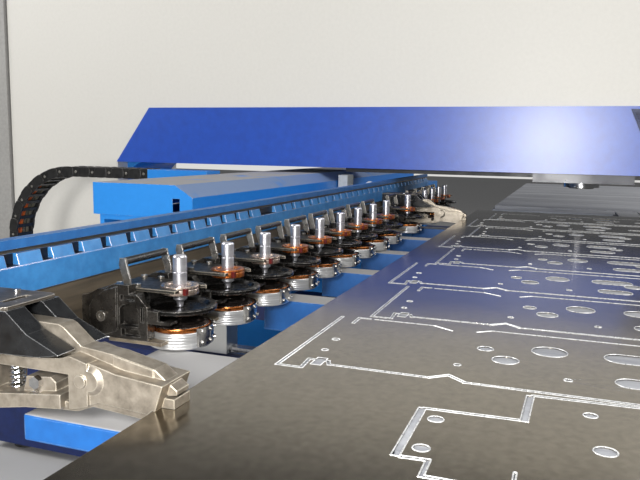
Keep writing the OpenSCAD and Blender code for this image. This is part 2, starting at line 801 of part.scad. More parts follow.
module cassette_screws() color(steel) at_tools() {
  for (s = [-1, 1]) translate([s * (body_hw + cheek_t + seat + 2.5), bolt_y, bolt_z]) difference() {
    lying(9, 5);
    translate([s * 2, 0, 0]) rotate([0, 90, 0]) cylinder(r = 4.4, h = 6, center = true, $fn = 6);
  }
  for (s = [-1, 1], y = [62, 98]) translate([s * 37, y, arm_top + seat]) difference() {
    cylinder(r = 6, h = 5);
    translate([0, 0, 2]) cylinder(r = 3, h = 5, $fn = 6);
  }
}

plate_hw = ring_r + 3;

module arm_plate() difference() {
  union() {
    translate([0, 0, arm_low]) cylinder(r = plate_hw, h = arm_t);
    box(-plate_hw, plate_hw, 0, plate_back - seat, arm_low, arm_top);
  }
  translate([0, 0, arm_low - 1]) cylinder(r = ring_r + seat, h = arm_t + 2);
}

module arm_plates() color(iron) at_tools() arm_plate();

module lower_plates() color(jaw_tone) at_tools() difference() {
  translate([0, 0, body_low - plate_t - seat]) linear_extrude(plate_t) polygon([
    [-cassette_hw + 4, -8], [-cassette_hw + 4, 96], [-40, 110], [40, 110],
    [cassette_hw - 4, 96], [cassette_hw - 4, -8]
  ]);
  translate([0, 0, -60]) cylinder(r = die_r + 4 + seat, h = 60);
}

// Hooks beside the stripper whose feet reach over the die
module retaining_fingers() color(iron) at_tools() for (s = [0, 1]) mirror([s, 0, 0]) {
  x0 = stripper_r + seat;
  box(x0, x0 + finger_w, 0, 20 - seat, 3, 25);
  box(x0, x0 + finger_w, -22, eps, 3, 9);
  box(die_r - 4, x0 + eps, -22, -8, 3, 7);
}

// Sprung clip round the sheet side of a die, with the studs that index it
module die_brackets() color(bright) at_tools() {
  r = die_r + 4 + seat;
  difference() {
    translate([0, 0, die_low + 4]) pipe(r + 4, r, die_h - 10);
    box(-100, -26, -100, 100, -80, 60);
    box(-100, 100, -16, 100, -80, 60);
  }
  for (a = [-108 : 22 : -42], z = [die_low + 10, die_top - 12]) rotate(a)
    translate([r + 5, 0, z]) lying(3.4, 5);
}

module handle_legs() color(steel) at_tools() for (s = [-1, 1])
  translate([s * 64, 0, 0]) along_x(4) polygon([
    [hump_y + 0.5, hump_z + seat], [70, hump_z + seat], [71, 74], [79, 99], [77, 110], [66, 110],
    [hump_y + 1, 74]
  ]);

module handle_grips() color(black) at_tools() translate([0, 71, 104]) lying(grip_r, 124 - 2 * seat);

module alignment_rings() color(bright) at_tools() difference() {
  translate([0, 0, ring_low]) cylinder(r = ring_r, h = ring_h);
  translate([0, 0, 0]) cylinder(r = shank_r + seat, h = 80);
  translate([0, 0, ring_top - 3]) cylinder(r = shank_r + 9, h = 10);
  translate([0, 0, ring_low - 1]) cylinder(r = ring_r - 8, h = 4);
  box(-7, 3, -ring_r - 1, -ring_r + 4, ring_low + 2, ring_top - 2);
}

module punches() color(bright) at_tools() rotate_extrude() polygon([
  [0, strip_low + 4], [5, strip_low + 4], [6, strip_low + 12], [shank_r - 3, strip_low + 16],
  [shank_r, strip_low + 18], [shank_r, punch_h - 30], [shank_r - 0.9, punch_h - 29],
  [shank_r - 0.9, punch_h - 27.5], [shank_r, punch_h - 26.5], [shank_r, punch_h - 2.5],
  [shank_r - 1.8, punch_h], [0, punch_h]
]);

module strippers() color(black) at_tools() translate([0, 0, strip_low]) rotate_extrude() polygon([
  [7, 0], [stripper_r - 3, 0], [stripper_r, 2.5], [stripper_r, strip_h - 2],
  [stripper_r - 2, strip_h], [stripper_r - 12, strip_h], [stripper_r - 19, 4], [20, 3], [7, 3]
]);

module dies() color(iron) at_tools() difference() {
  rotate_extrude() polygon([
    [0, die_low], [die_r, die_low], [die_r, die_top - 5], [die_r - 6, die_top - 1.5],
    [die_r - 16, die_top - 1.5], [die_r - 18, die_top], [0, die_top]
  ]);
  translate([0, 0, die_top - 6]) cylinder(r = 6, h = 10);
  translate([0, 0, die_low - 1]) cylinder(r = 14, h = die_h - 4);
}

module copper_bands() color(copper) at_tools() translate([0, 0, die_top - 16])
  pipe(die_r + 2.4, die_r + seat, 11);

module die_rings() color(bright) at_tools() rotate_extrude() polygon([
  [die_r + seat, die_low], [die_r + 3, die_low], [die_r + 4, die_low + 1.5],
  [die_r + 4, die_low + 12], [die_r + 3.4, die_low + 13], [die_r + 4, die_low + 14],
  [die_r + 4, die_top - 17.5], [die_r + 3, die_top - 16 - seat], [die_r + seat, die_top - 16 - seat]
]);

// Clamp in local coordinates

module lower_jaw() {
  y0 = sheet_edge - bite;
  top = -sheet_t - seat;
  difference() {
    union() {
      along_x(2 * tongue_hw) polygon([
        [y0, top], [sheet_edge + 2, top], [sheet_edge + 12, 6], [pivot_y - 26, 12],
        [pivot_y - 13, pivot_z + 10.5], [pivot_y + 13, pivot_z + 10.5], [pivot_y + 22, -8],
        [block_y, -8], [block_y, -25], [-92, -18], [-115, -9], [-182, -14], [y0, -9]
      ]);
      along_x(2 * jaw_hw) polygon([
        [pivot_y + 31, 3], [-21, -3], [block_y, -10], [block_y, carrier_z],
        [face_reach - seat, carrier_z], [face_reach - seat, -30], [block_y, -30], [-21, -20],
        [pivot_y + 31, -15]
      ]);
      along_x(2 * web_hw) polygon([[-58, -12], [-58, 12], [-50, 18], [-14, 15], [-6, -12]]);
    }
    translate([0, pivot_y, pivot_z]) lying(pivot_r + seat, 100);
    translate([0, coil_y, -10 - seat]) cylinder(r = coil_r + 3.5, h = 30);
    for (s = [-1, 1]) translate([s * (web_hw + 5), nut_y, nut_z[1]]) lying(nut_r + 0.8, 10);
  }
}

module clamp_lower_jaws() color(jaw_tone) at_clamps() lower_jaw();

module upper_jaw(k) at_clamp(k) {
  y0 = sheet_edge - bite;
  y1 = block_y - 4.5;
  difference() {
    union() {
      along_x(2 * front_hw) polygon([
        [sheet_edge - 3, seat], [sheet_edge + 1, seat], [sheet_edge + 7, -5], [-126, -1],
        [-108, -8], [-100, -8], [-100, 49], [-152, 37], [sheet_edge - 13, 31]
      ]);
      along_x(2 * jaw_hw) polygon([
        [-114, -6], [-108, -8], [-92, -12], [pivot_y + 18, -12], [pivot_y + 18, 30], [y1, 30],
        [y1, 43.5], [-24, 43.5], [-77, 48.5], [-88, 52.5], [-99, 50], [-114, 46]
      ]);
      for (s = [0, 1]) mirror([s, 0, 0]) translate([front_hw - eps, -116, 25]) rotate([0, 90, 0])
        cylinder(r1 = 19, r2 = 12, h = jaw_hw - front_hw + eps);
      along_x(2 * rib_hw) polygon([
        [y0, 16], [sheet_edge - 10, 14], [-196, 26], [-100, 40], [30, 40], [30, 84], [-57, 83],
        [-64, 80], [-90, 59], [-137, 54], [-192, 43], [y0, 21]
      ]);
      along_x(2 * rib_hw + 3) polygon([[-192, 30], [-137, 34], [-137, 53.5], [-191, 42.5]]);
      along_x(2 * rib_hw + 8) polygon([
        [y0 + 1, seat], [sheet_edge, seat], [sheet_edge, 12], [y0 + 1, 12]
      ]);
      translate([0, pivot_y, pivot_z]) lying(pivot_r, 2 * jaw_hw + 6);
    }
    difference() {
      along_x(2 * (tongue_hw + jaw_play)) polygon([
        [sheet_edge + 4 - jaw_play, -20], [sheet_edge + 4 - jaw_play, 12], [pivot_y - 34, 20],
        [pivot_y - 28, pivot_z + 14.5], [pivot_y + 24, pivot_z + 14.5], [pivot_y + 24, -20]
      ]);
      translate([0, pivot_y, pivot_z]) lying(pivot_r, 2 * jaw_hw);
    }
  }
}

module clamp_jaw_left() color(jaw_tone) upper_jaw(clamp_at[0]);

module clamp_jaw_right() color(jaw_tone) upper_jaw(clamp_at[1]);

module clamp_hoods() color(black) at_clamps() {
  for (s = [-1, 1]) translate([s * (hood_hw + channel_hw) / 2, 0, 0])
    along_x(hood_hw - channel_hw) polygon([
      [hood_back, carrier_z + seat], [hood_back, hood_z], [-8, hood_z], [-38, 76], [-68, 63],
      [-84, 55.5], [-54, 50], [4, 48], [block_y, carrier_z + seat]
    ]);
  box(-channel_hw - eps, channel_hw + eps, 62, hood_back, carrier_z + seat, hood_z);
}

// Steel plate on top of a hood, with the slot that its sensor looks through
module clamp_caps() color(steel) at_clamps() translate([0, 0, hood_z + seat]) difference() {
  linear_extrude(cap_t) polygon([
    [-hood_hw, hood_back], [-hood_hw, 0], [-hood_hw + 5, -6], [hood_hw - 5, -6], [hood_hw, 0],
    [hood_hw, hood_back]
  ]);
  box(-24, 22, 14, 24, -1, cap_t + 1);
}

// Fasteners of a clamp: two nuts on the web of the lower jaw and the screws of the cap
module clamp_fasteners() color(bright) at_clamps() {
  for (s = [-1, 1], z = nut_z) translate([s * (web_hw + seat + 4), nut_y, z])
    rotate([0, 90, 0]) cylinder(r = nut_r, h = 8, center = true, $fn = 6);
  for (s = [-1, 1]) translate([s * (hood_hw - 12), 50, hood_z + cap_t + 2 * seat])
    cylinder(r = 5, h = 3);
}

module spring(k) color(bright) at_clamp(k) translate([0, coil_y, -10])
  coil(coil_r, 1.6, 40 - seat, coil_n);

// Wire coil with closed ends that lie flat
module coil(r, wire, h, n) {
  per = 14;
  m = n * per;
  function lift(i) = wire + (h - 2 * wire) * min(1, max(0, (i - per * 0.6) / (m - per * 1.2)));
  function ring(i) = [for (j = [0 : 7]) let (a = i * 360 / per, b = j * 45, q = r + wire * cos(b))
    [q * cos(a), q * sin(a), lift(i) + wire * sin(b)]];
  points = [for (i = [0 : m]) each ring(i)];
  polyhedron(points, concat(
    [[for (j = [0 : 7]) j]],
    [for (i = [0 : m - 1], j = [0 : 7])
      [i * 8 + j, (i + 1) * 8 + j, (i + 1) * 8 + (j + 1) % 8, i * 8 + (j + 1) % 8]],
    [[for (j = [7 : -1 : 0]) m * 8 + j]]
  ));
}

// Sheet with the outlines and holes cut so far: parts side by side, each joined by its tabs
module metal_sheet() color("#77787a") {
  y1 = tool_y + sheet_edge;
  x0 = station_x(1) - 124;
  translate([0, 0, pass_h - sheet_t]) linear_extrude(sheet_t) difference() {
    translate([x0, y1 - sheet_w]) square([sheet_l, sheet_w]);
    for (k = [0 : cut_parts - 1])
      translate([x0 + 308 + k * part_pitch, y1 - 61 - (k % 2) * part_shift]) part_cuts();
    translate([x0 + 308 - part_pitch, y1 - 61]) first_cuts();
  }
}

// A straight slit between two points
module slit(a, b, w = slit_w) {
  d = b - a;
  translate(a) rotate(atan2(d.y, d.x)) translate([-w / 2, -w / 2]) square([norm(d) + w, w]);
}

module slits(points, w = slit_w)
  for (i = [1 : len(points) - 1]) slit(points[i - 1], points[i], w);

module part_cuts() {
  slits([[26, -203], [26, -68], [40, -62], [40, -33], [0, -36], [0, 0], [296, 0]]);
  slits([[26, -209], [46, -232], [24, -257], [24, -700]]);
  slits([[24, -708], [24, cut_end]]);
  slits([[262, -31], [300, -31], [300, -50]]);
  slits([[300, -60], [300, -165], [278, -200]], slit_w / 3);
  slits([[286, -240], [304, -262], [304, cut_end]], slit_w / 3);
  slit([26, -50], [44, -50], 3 * slit_w);
  for (h = [[152, -36, 6], [91, -39, 5], [96, -236, 5], [193, -264, 12], [145, -298, 19],
    [214, -357, 26], [87, -384, 5.5], [180, -520, 19], [96, -700, 9], [214, -760, 26]])
    translate([h.x, h.y]) circle(h.z);
  for (h = [[218, -478, 24, 40], [104, -478, 20, 30], [150, -640, 12, 60]])
    for (s = [-1, 1]) translate([h.x, h.y + s * h[3] / 2]) circle(h.z);
  for (h = [[218, -478, 24, 40], [104, -478, 20, 30], [150, -640, 12, 60]])
    translate([h.x - h.z, h.y - h[3] / 2]) square([2 * h.z, h[3]]);
}

// The nearest part, of another shape
module first_cuts() {
  slits([[334, cut_end], [334, -464], [328, -344]]);
  slit([322, -340], [242, -338], 9);
  slits([[240, -330], [235, -226]]);
  slit([231, -223], [103, -223], 9);
  slits([[99, -230], [101, -256], [66, -256], [66, cut_end]]);
  slits([[105, -338], [68 + slit_w, -338]], 3);
  for (h = [[207, -244, 9], [126, -244, 9], [286, -409, 8], [188, -421, 12]])
    translate([h.x, h.y]) circle(h.z);
}

c_frame();
plinth();
levelling_feet();
mirrored() side_cover();  // side_covers
mirrored() side_band();  // arm_bands
mirrored() side_vent();  // vent_pads
nose_cover();
top_cover();
arm_pan();
rear_cabinet();
base_covers();
head_housing();
ram_cylinder();
ram();
punch_spindle();
die_housing();
die_spindle();
centre_table();
centre_brushes();
chute_flap();
outriggers();
y_guides();
chain_tray();
cross_beam();
slide_cover();
x_carriages();
y_carriages();
slide_arms();
chain_bracket();
energy_chain();
hose_comb();
table_beams();
table_decks();
table_brushes();
rail_beam();
rail_flange();
tab_strip();
x_guides();
cassette_bodies();
cassette_screws();
arm_plates();
lower_plates();
retaining_fingers();
handle_legs();
handle_grips();
alignment_rings();
punches();
strippers();
dies();
copper_bands();
die_rings();
die_brackets();
clamp_lower_jaws();
clamp_hoods();
clamp_caps();
clamp_fasteners();
clamp_jaw_left();
clamp_jaw_right();
spring(clamp_at[0]);  // spring_left
spring(clamp_at[1]);  // spring_right
metal_sheet();
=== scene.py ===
"""Looks of a CNC punch press that carries a straight row of tools on its transverse rail."""

import logging
import math
from dataclasses import dataclass, field
from enum import Enum
from typing import Any

import bmesh
import bpy
import numpy as np
from mathutils import Matrix, Vector


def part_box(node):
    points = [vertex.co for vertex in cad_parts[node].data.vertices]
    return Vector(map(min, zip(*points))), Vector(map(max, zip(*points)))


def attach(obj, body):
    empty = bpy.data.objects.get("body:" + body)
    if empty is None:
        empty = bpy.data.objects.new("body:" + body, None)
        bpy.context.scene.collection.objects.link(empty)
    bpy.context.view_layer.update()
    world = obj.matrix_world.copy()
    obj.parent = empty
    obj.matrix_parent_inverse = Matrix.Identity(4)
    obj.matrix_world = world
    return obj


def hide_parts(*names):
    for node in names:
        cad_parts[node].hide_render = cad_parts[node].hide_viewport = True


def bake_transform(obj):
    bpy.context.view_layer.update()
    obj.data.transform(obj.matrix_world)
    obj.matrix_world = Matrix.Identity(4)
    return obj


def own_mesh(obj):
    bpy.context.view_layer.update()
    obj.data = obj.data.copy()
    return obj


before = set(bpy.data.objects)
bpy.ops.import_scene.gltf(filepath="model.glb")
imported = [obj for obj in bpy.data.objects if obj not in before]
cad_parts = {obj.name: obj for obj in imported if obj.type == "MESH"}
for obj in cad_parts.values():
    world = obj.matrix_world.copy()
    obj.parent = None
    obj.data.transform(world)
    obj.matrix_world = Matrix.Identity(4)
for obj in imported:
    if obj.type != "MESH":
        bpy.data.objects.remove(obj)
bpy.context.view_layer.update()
log = logging.getLogger("punch_press")
Array = np.ndarray
Faces = list[tuple[int, ...]]
Shape = tuple[Array, Faces]
Triple = tuple[float, float, float]

# Height of the sheet's top face, in metres
SHEET_PLANE = 1.000
# Corners nearer than this, in metres, are one point
SAME_POINT = 1e-6
# Scale of a noise whose spots are one millimetre across
NOISE_SCALE_MM = 600.0
# Spots of edge wear and of painted edge highlight, and of dust on a top
EDGE_SPOT_MM = 14.0
DUST_SPOT_MM = 160.0
# Cosine between the flat and the rounded normal where edge wear and painted edge highlight start,
# and where they are full
EDGE_MARK_STARTS = 0.995
EDGE_MARK_IS_FULL = 0.90
BARE_METALLIC = 0.85
DUST_ROUGHNESS = 0.85


class Grain(Enum):
    """Direction in which a surface was ground or wiped."""

    NONE = (1.0, 1.0, 1.0)
    ALONG_X = (0.06, 1.0, 1.0)
    ALONG_Y = (1.0, 0.06, 1.0)
    TURNED = (0.04, 0.04, 1.0)


def srgb(code: str) -> tuple[float, float, float, float]:
    """Turns an sRGB hex colour into a linear one.

    Args:
        code: Six hex digits after a hash.

    Returns:
        Linear red, green, blue and an alpha of one.
    """
    parts = [int(code[i : i + 2], 16) / 255 for i in (1, 3, 5)]
    linear = [c / 12.92 if c <= 0.04045 else ((c + 0.055) / 1.055) ** 2.4 for c in parts]
    return (linear[0], linear[1], linear[2], 1.0)


def add_node(tree: Any, kind: str, sockets: dict[Any, Any] | None = None, **settings: Any) -> Any:
    """Adds a shader node, sets its properties and fills or links its inputs.

    Args:
        tree: The node tree that gets the node.
        kind: The node's type name.
        sockets: Input name or index, with a value or the output to link.
        **settings: Properties of the node itself.

    Returns:
        The node.
    """
    made = tree.nodes.new(kind)
    for name, value in settings.items():
        setattr(made, name, value)
    for key, value in (sockets or {}).items():
        if isinstance(value, bpy.types.NodeSocket):
            tree.links.new(value, made.inputs[key])
        else:
            made.inputs[key].default_value = value
    return made


def add_ramp(tree: Any, factor: Any, stops: list[tuple[float, str]]) -> Any:
    """Adds a colour ramp with its stops and returns its colour output."""
    made = add_node(tree, "ShaderNodeValToRGB", {0: factor})
    ramp = made.color_ramp
    ramp.elements[0].position, ramp.elements[0].color = stops[0][0], srgb(stops[0][1])
    ramp.elements[1].position, ramp.elements[1].color = stops[-1][0], srgb(stops[-1][1])
    for place, code in stops[1:-1]:
        ramp.elements.new(place).color = srgb(code)
    return made.outputs[0]


@dataclass(frozen=True)
class Finish:
    """One surface of the machine: what it is made of and how it was finished.

    The colour is a slow noise between two tones. A fine noise moves the roughness and the
    bump. Edges, found from the angle between the flat and the rounded normal, take the edge
    colour: bare on worn finishes, a painted highlight on the sheet. Upward faces may carry dust.
    """

    name: str
    tone: str
    shade: str
    metallic: float
    roughness: float
    patch_mm: float = 350.0
    grain_mm: float = 3.0
    grain_depth_mm: float = 0.02
    spread: float = 0.12
    grain: Grain = Grain.NONE
    edge_tone: str = ""
    edge_mm: float = 1.5
    edge_share: float = 0.6
    dust_tone: str = ""
    dust_share: float = 0.5
    coat: float = 0.0
    coat_roughness: float = 0.15

    def noise(self, tree: Any, place: Any, size_mm: float, detail: float,
              stretch: bool = False) -> Any:
        """A noise whose spots are about size_mm across, drawn out along the grain if asked."""
        if stretch and self.grain is not Grain.NONE:
            place = add_node(tree, "ShaderNodeMapping",
                             {"Vector": place, "Scale": self.grain.value}).outputs[0]
        return add_node(tree, "ShaderNodeTexNoise",
                        {"Vector": place, "Scale": NOISE_SCALE_MM / size_mm, "Detail": detail,
                         "Roughness": 0.6}).outputs[0]

    def colour(self, tree: Any, place: Any) -> Any:
        """The colour before edge wear, painted edge highlights and dust: two tones in slow patches
        with a fine fleck.
        """
        patches = self.noise(tree, place, self.patch_mm, 6.0, True)
        fleck = self.noise(tree, place, self.grain_mm * 4.0, 3.0, True)
        both = add_node(tree, "ShaderNodeMath", {0: patches, 1: fleck}, operation="ADD").outputs[0]
        half = add_node(tree, "ShaderNodeMath", {0: both, 1: 0.5}, operation="MULTIPLY").outputs[0]
        return add_ramp(tree, half, [(0.38, self.shade), (0.60, self.tone)])

    def edge_wear_and_highlight(self, tree: Any, place: Any) -> tuple[Any, Any]:
        """How far each point near an edge takes the edge colour (wear, and on the sheet a painted
        highlight), and the rounded normal there.
        """
        bevel = add_node(tree, "ShaderNodeBevel", {0: self.edge_mm / 1000}, samples=4).outputs[0]
        flat = add_node(tree, "ShaderNodeNewGeometry").outputs["True Normal"]
        match = add_node(tree, "ShaderNodeVectorMath", {0: bevel, 1: flat},
                         operation="DOT_PRODUCT").outputs["Value"]
        turn = add_node(tree, "ShaderNodeMapRange",
                        {0: match, 1: EDGE_MARK_STARTS, 2: EDGE_MARK_IS_FULL, 3: 0.0, 4: 1.0}).outputs[0]
        low = 0.62 - 0.4 * self.edge_share
        share = add_node(tree, "ShaderNodeMapRange",
                         {0: self.noise(tree, place, EDGE_SPOT_MM, 4.0), 1: low, 2: low + 0.08,
                          3: 0.0, 4: 1.0}).outputs[0]
        edge_mark = add_node(tree, "ShaderNodeMath", {0: turn, 1: share},
                        operation="MULTIPLY").outputs[0]
        return edge_mark, bevel

    def lying_dust(self, tree: Any, place: Any) -> Any:
        """How thickly dust lies at each point: in patches, on faces that look up."""
        normal = add_node(tree, "ShaderNodeNewGeometry").outputs["True Normal"]
        up = add_node(tree, "ShaderNodeSeparateXYZ", {0: normal}).outputs[2]
        level = add_node(tree, "ShaderNodeMapRange",
                         {0: up, 1: 0.75, 2: 0.95, 3: 0.0, 4: 1.0}).outputs[0]
        low = 0.62 - 0.3 * self.dust_share
        patch = add_node(tree, "ShaderNodeMapRange",
                         {0: self.noise(tree, place, DUST_SPOT_MM, 8.0), 1: low, 2: low + 0.10,
                          3: 0.0, 4: 1.0}).outputs[0]
        return add_node(tree, "ShaderNodeMath", {0: level, 1: patch},
                        operation="MULTIPLY").outputs[0]

    def build(self) -> Any:
        """Builds the material.

        Returns:
            The Blender material, made once for each name.
        """
        if self.name in bpy.data.materials:
            return bpy.data.materials[self.name]
        material = bpy.data.materials.new(self.name)
        material.use_nodes = True
        tree = material.node_tree
        tree.nodes.clear()
        place = add_node(tree, "ShaderNodeTexCoord").outputs["Object"]
        colour = self.colour(tree, place)
        fine = self.noise(tree, place, self.grain_mm, 3.0, True)
        slow = self.noise(tree, place, self.patch_mm * 0.4, 5.0, True)
        rough = add_node(tree, "ShaderNodeMapRange",
                         {0: slow, 1: 0.3, 2: 0.7, 3: max(0.03, self.roughness - self.spread),
                          4: self.roughness + self.spread}).outputs[0]
        metal: Any = self.metallic
        sockets = {"Height": fine, "Distance": self.grain_depth_mm / 1000, "Strength": 1.0}
        if self.edge_tone:
            edge_mark, sockets["Normal"] = self.edge_wear_and_highlight(tree, place)
            colour = add_node(tree, "ShaderNodeMix", {0: edge_mark, 6: colour, 7: srgb(self.edge_tone)},
                              data_type="RGBA").outputs[2]
            if self.metallic < 0.5:
                metal = add_node(tree, "ShaderNodeMath", {0: edge_mark, 1: BARE_METALLIC},
                                 operation="MULTIPLY").outputs[0]
        if self.dust_tone:
            lying = self.lying_dust(tree, place)
            colour = add_node(tree, "ShaderNodeMix", {0: lying, 6: colour, 7: srgb(self.dust_tone)},
                              data_type="RGBA").outputs[2]
            rough = add_node(tree, "ShaderNodeMix",
                             {0: lying, 2: rough, 3: DUST_ROUGHNESS}).outputs[0]
        bump = add_node(tree, "ShaderNodeBump", sockets).outputs[0]
        shader = add_node(tree, "ShaderNodeBsdfPrincipled",
                          {"Base Color": colour, "Metallic": metal, "Roughness": rough,
                           "Normal": bump, "Coat Weight": self.coat,
                           "Coat Roughness": self.coat_roughness})
        add_node(tree, "ShaderNodeOutputMaterial", {0: shader.outputs[0]})
        return material


# Powder coat: an even matt skin with a fine orange peel, greyer in the shade
CREAM = Finish("cream_powder_coat", "#dedbd3", "#dad7cf", 0.0, 0.46, 2600.0, 2.5, 0.02, 0.05)
# Textured powder coat: drops a few millimetres across that break a highlight into specks
BAND = Finish("deep_blue_textured_coat", "#0c4cb8", "#0a43a8", 0.0, 0.44, 2200.0, 6.0, 0.35, 0.04,
              coat=1.0, coat_roughness=0.30)
# Blue steelwork under the slide, darkened to deep blue as painted shade
BLUE_IN_PAINTED_SHADE = Finish("blue_enamel_painted_shade", "#142a66", "#10204f", 0.0, 0.45, 500.0, 4.0, 0.03)
# Satin machine enamel over ground steel, rubbed bright along its edges
BLUE = Finish("bright_blue_enamel", "#2a88da", "#2783d4", 0.0, 0.36, 900.0, 3.0, 0.02, 0.06,
              edge_tone="#c9c2c6", edge_mm=1.5, edge_share=0.35, coat=0.2)
# The same enamel under a film of grey workshop dust on its top
DUSTY = Finish("dusty_blue_enamel", "#2a88da", "#2783d4", 0.0, 0.38, 900.0, 3.0, 0.02, 0.06,
               edge_tone="#c9c2c6", edge_mm=2.0, edge_share=0.3,
               dust_tone="#a9a7a6", dust_share=0.95)
# Enamelled rack tabs with paint knocked off their corners
TABS = Finish("chipped_blue_enamel", "#3a80ba", "#2d6ca4", 0.0, 0.42, 90.0, 3.0, 0.06,
              edge_tone="#c9bfc8", edge_mm=2.0, edge_share=0.7)
# Near-black painted shade in the recesses between the rack's tabs
RECESS_PAINTED_SHADE = Finish("recess_painted_shade", "#23242c", "#15161d", 0.4, 0.35, 60.0, 3.0, 0.05)
# Darker blue of the rail's flange, dulled by an oil film
FLANGE = Finish("oiled_blue_enamel", "#2a68a6", "#225a94", 0.0, 0.42, 300.0, 3.0, 0.02, 0.08,
                edge_tone="#9db4cc", edge_mm=1.5, edge_share=0.5)
# Beams under the sheet: blue sides darker than the frame's enamel as painted shade, and a pale film
# of dust on top
BEAM = Finish("dusty_beam_enamel_painted_shade", "#165a9e", "#134f8e", 0.0, 0.42, 700.0, 3.0, 0.02, 0.06,
              edge_tone="#9ec6ee", edge_mm=1.5, edge_share=0.4, dust_tone="#a8a6a4", dust_share=1.6)
# Navy enamel of the head, darkened nearly to black as painted shade under the arm
NAVY = Finish("navy_enamel_painted_shade", "#171a33", "#101227", 0.0, 0.32, 300.0, 3.0, 0.02)
MESH = Finish("vent_moulding", "#3a4468", "#2a3350", 0.0, 0.5, 120.0, 2.0, 0.05,
              edge_tone="#7c86a8", edge_mm=1.5, edge_share=0.8)
PAN = Finish("black_sheet_pan", "#1b1b1d", "#111112", 0.0, 0.5, 300.0, 3.0, 0.03)
GREY = Finish("grey_powder_coat", "#a8a6a2", "#999793", 0.0, 0.5, 700.0, 2.5, 0.02)
# Cold-rolled sheet: oil film in long wiped streaks over a dull mill finish, with pure white along
# its edges as a painted highlight
SHEET = Finish("oiled_cold_rolled_steel", "#948d80", "#7f786c", 1.0, 0.19, 900.0, 1.6, 0.003, 0.05,
               edge_tone="#ffffff", edge_mm=0.8, edge_share=1.0)
# Ground steel that oil has browned
RAIL = Finish("browned_ground_steel", "#a3937c", "#7f7465", 0.75, 0.42, 160.0, 2.0, 0.01, 0.12,
              Grain.ALONG_X)
MACHINED = Finish("machined_steel", "#9d9b98", "#7e7c79", 0.95, 0.36, 90.0, 1.5, 0.008, 0.1,
                  edge_tone="#e6e4e0", edge_mm=1.0, edge_share=0.8)
GROUND = Finish("ground_steel", "#c9c9cb", "#a9a9ab", 1.0, 0.2, 120.0, 1.2, 0.003, 0.08,
                Grain.ALONG_X)
TABLE = Finish("blued_table_plate", "#7f8288", "#63666d", 0.5, 0.42, 120.0, 2.0, 0.01, 0.1,
               Grain.ALONG_Y)
# Oiled dark casting: black skin with edges rubbed to bare iron
CASTING = Finish("oiled_black_casting", "#46423d", "#211f1d", 0.65, 0.30, 16.0, 7.0, 1.1, 0.14,
                 edge_tone="#a29d95", edge_mm=1.8, edge_share=0.45)
ARM = Finish("black_plate_bare_edges", "#4b4741", "#2a2826", 0.6, 0.46, 16.0, 5.0, 0.5, 0.14,
             edge_tone="#d9cdb8", edge_mm=2.6, edge_share=1.1)
BARE = Finish("bare_beige_plate", "#b3a48c", "#8d8171", 0.8, 0.36, 40.0, 1.8, 0.02, 0.1,
              edge_tone="#efe7d8", edge_mm=1.0, edge_share=0.8)
STRIP = Finish("bare_steel_strip", "#a09a90", "#77726a", 0.9, 0.34, 40.0, 1.5, 0.01, 0.1,
               edge_tone="#f0ece4", edge_mm=1.0, edge_share=0.9)
SLEEVE = Finish("worn_black_sleeve", "#262626", "#141414", 0.0, 0.34, 18.0, 2.0, 0.05,
                edge_tone="#a8a8a8", edge_mm=1.2, edge_share=0.5)
RING = Finish("turned_ring", "#d3c2b4", "#a98d7c", 0.9, 0.26, 30.0, 1.0, 0.004, 0.08,
              edge_tone="#fff4ea", edge_mm=0.8, edge_share=0.9)
# Copper-coloured ring with oil baked on in patches
WARM_RING = Finish("copper_ring", "#d07838", "#9c4d1c", 0.85, 0.3, 26.0, 1.2, 0.01, 0.1,
                   edge_tone="#ffc48c", edge_mm=0.8, edge_share=0.8)
RED_KEY = Finish("red_key", "#6a1a16", "#4a100d", 0.2, 0.35, 6.0, 1.0, 0.01)
# Raised lip along every cut, near white as a painted highlight
CUT_LIP_PAINTED_HIGHLIGHT = Finish("cut_lip_painted_highlight", "#f6f6f4", "#dcdcda", 0.6, 0.3, 12.0, 1.0, 0.02)
BOSS = Finish("worn_chain_pin", "#8d8a82", "#6c6962", 0.3, 0.35, 8.0, 1.0, 0.02)
PIPE = Finish("white_pipe", "#dfe1e2", "#c9cbcd", 0.0, 0.35, 40.0, 2.0, 0.01)
PUNCH = Finish("ground_tool_steel", "#ecebee", "#cfccd2", 0.9, 0.30, 14.0, 1.2, 0.004, 0.05,
               Grain.TURNED)
BLACKED = Finish("blacked_disc", "#2a2725", "#151413", 0.7, 0.24, 24.0, 1.6, 0.02, 0.08,
                 edge_tone="#b5b0aa", edge_mm=0.9, edge_share=0.6)
DIE = Finish("dark_die_steel", "#4a3f3a", "#2a2422", 0.8, 0.3, 22.0, 1.6, 0.01, 0.1,
             edge_tone="#cfc6bf", edge_mm=0.9, edge_share=0.6)
COPPER = Finish("bare_copper_band", "#d98a4e", "#a8602f", 1.0, 0.26, 12.0, 1.4, 0.02, 0.08)
TURNED = Finish("turned_aluminium", "#f4f4f2", "#cdccca", 0.85, 0.34, 5.0, 1.6, 0.01, 0.06,
                Grain.TURNED)
CLIP = Finish("bright_spring_steel", "#e4e2de", "#b5b2ae", 1.0, 0.2, 10.0, 1.2, 0.01, 0.08)
# Blasted casting: a warm grey skin with fine grit pits and rubbed ridges
JAW = Finish("blasted_casting", "#aca293", "#81786b", 0.75, 0.42, 60.0, 2.2, 0.05, 0.1,
             edge_tone="#e6dcc8", edge_mm=2.2, edge_share=0.8)
HOOD = Finish("black_enamelled_hood", "#1c1d1e", "#101011", 0.1, 0.26, 70.0, 2.0, 0.02, 0.08,
              edge_tone="#b9b9b9", edge_mm=1.5, edge_share=0.75)
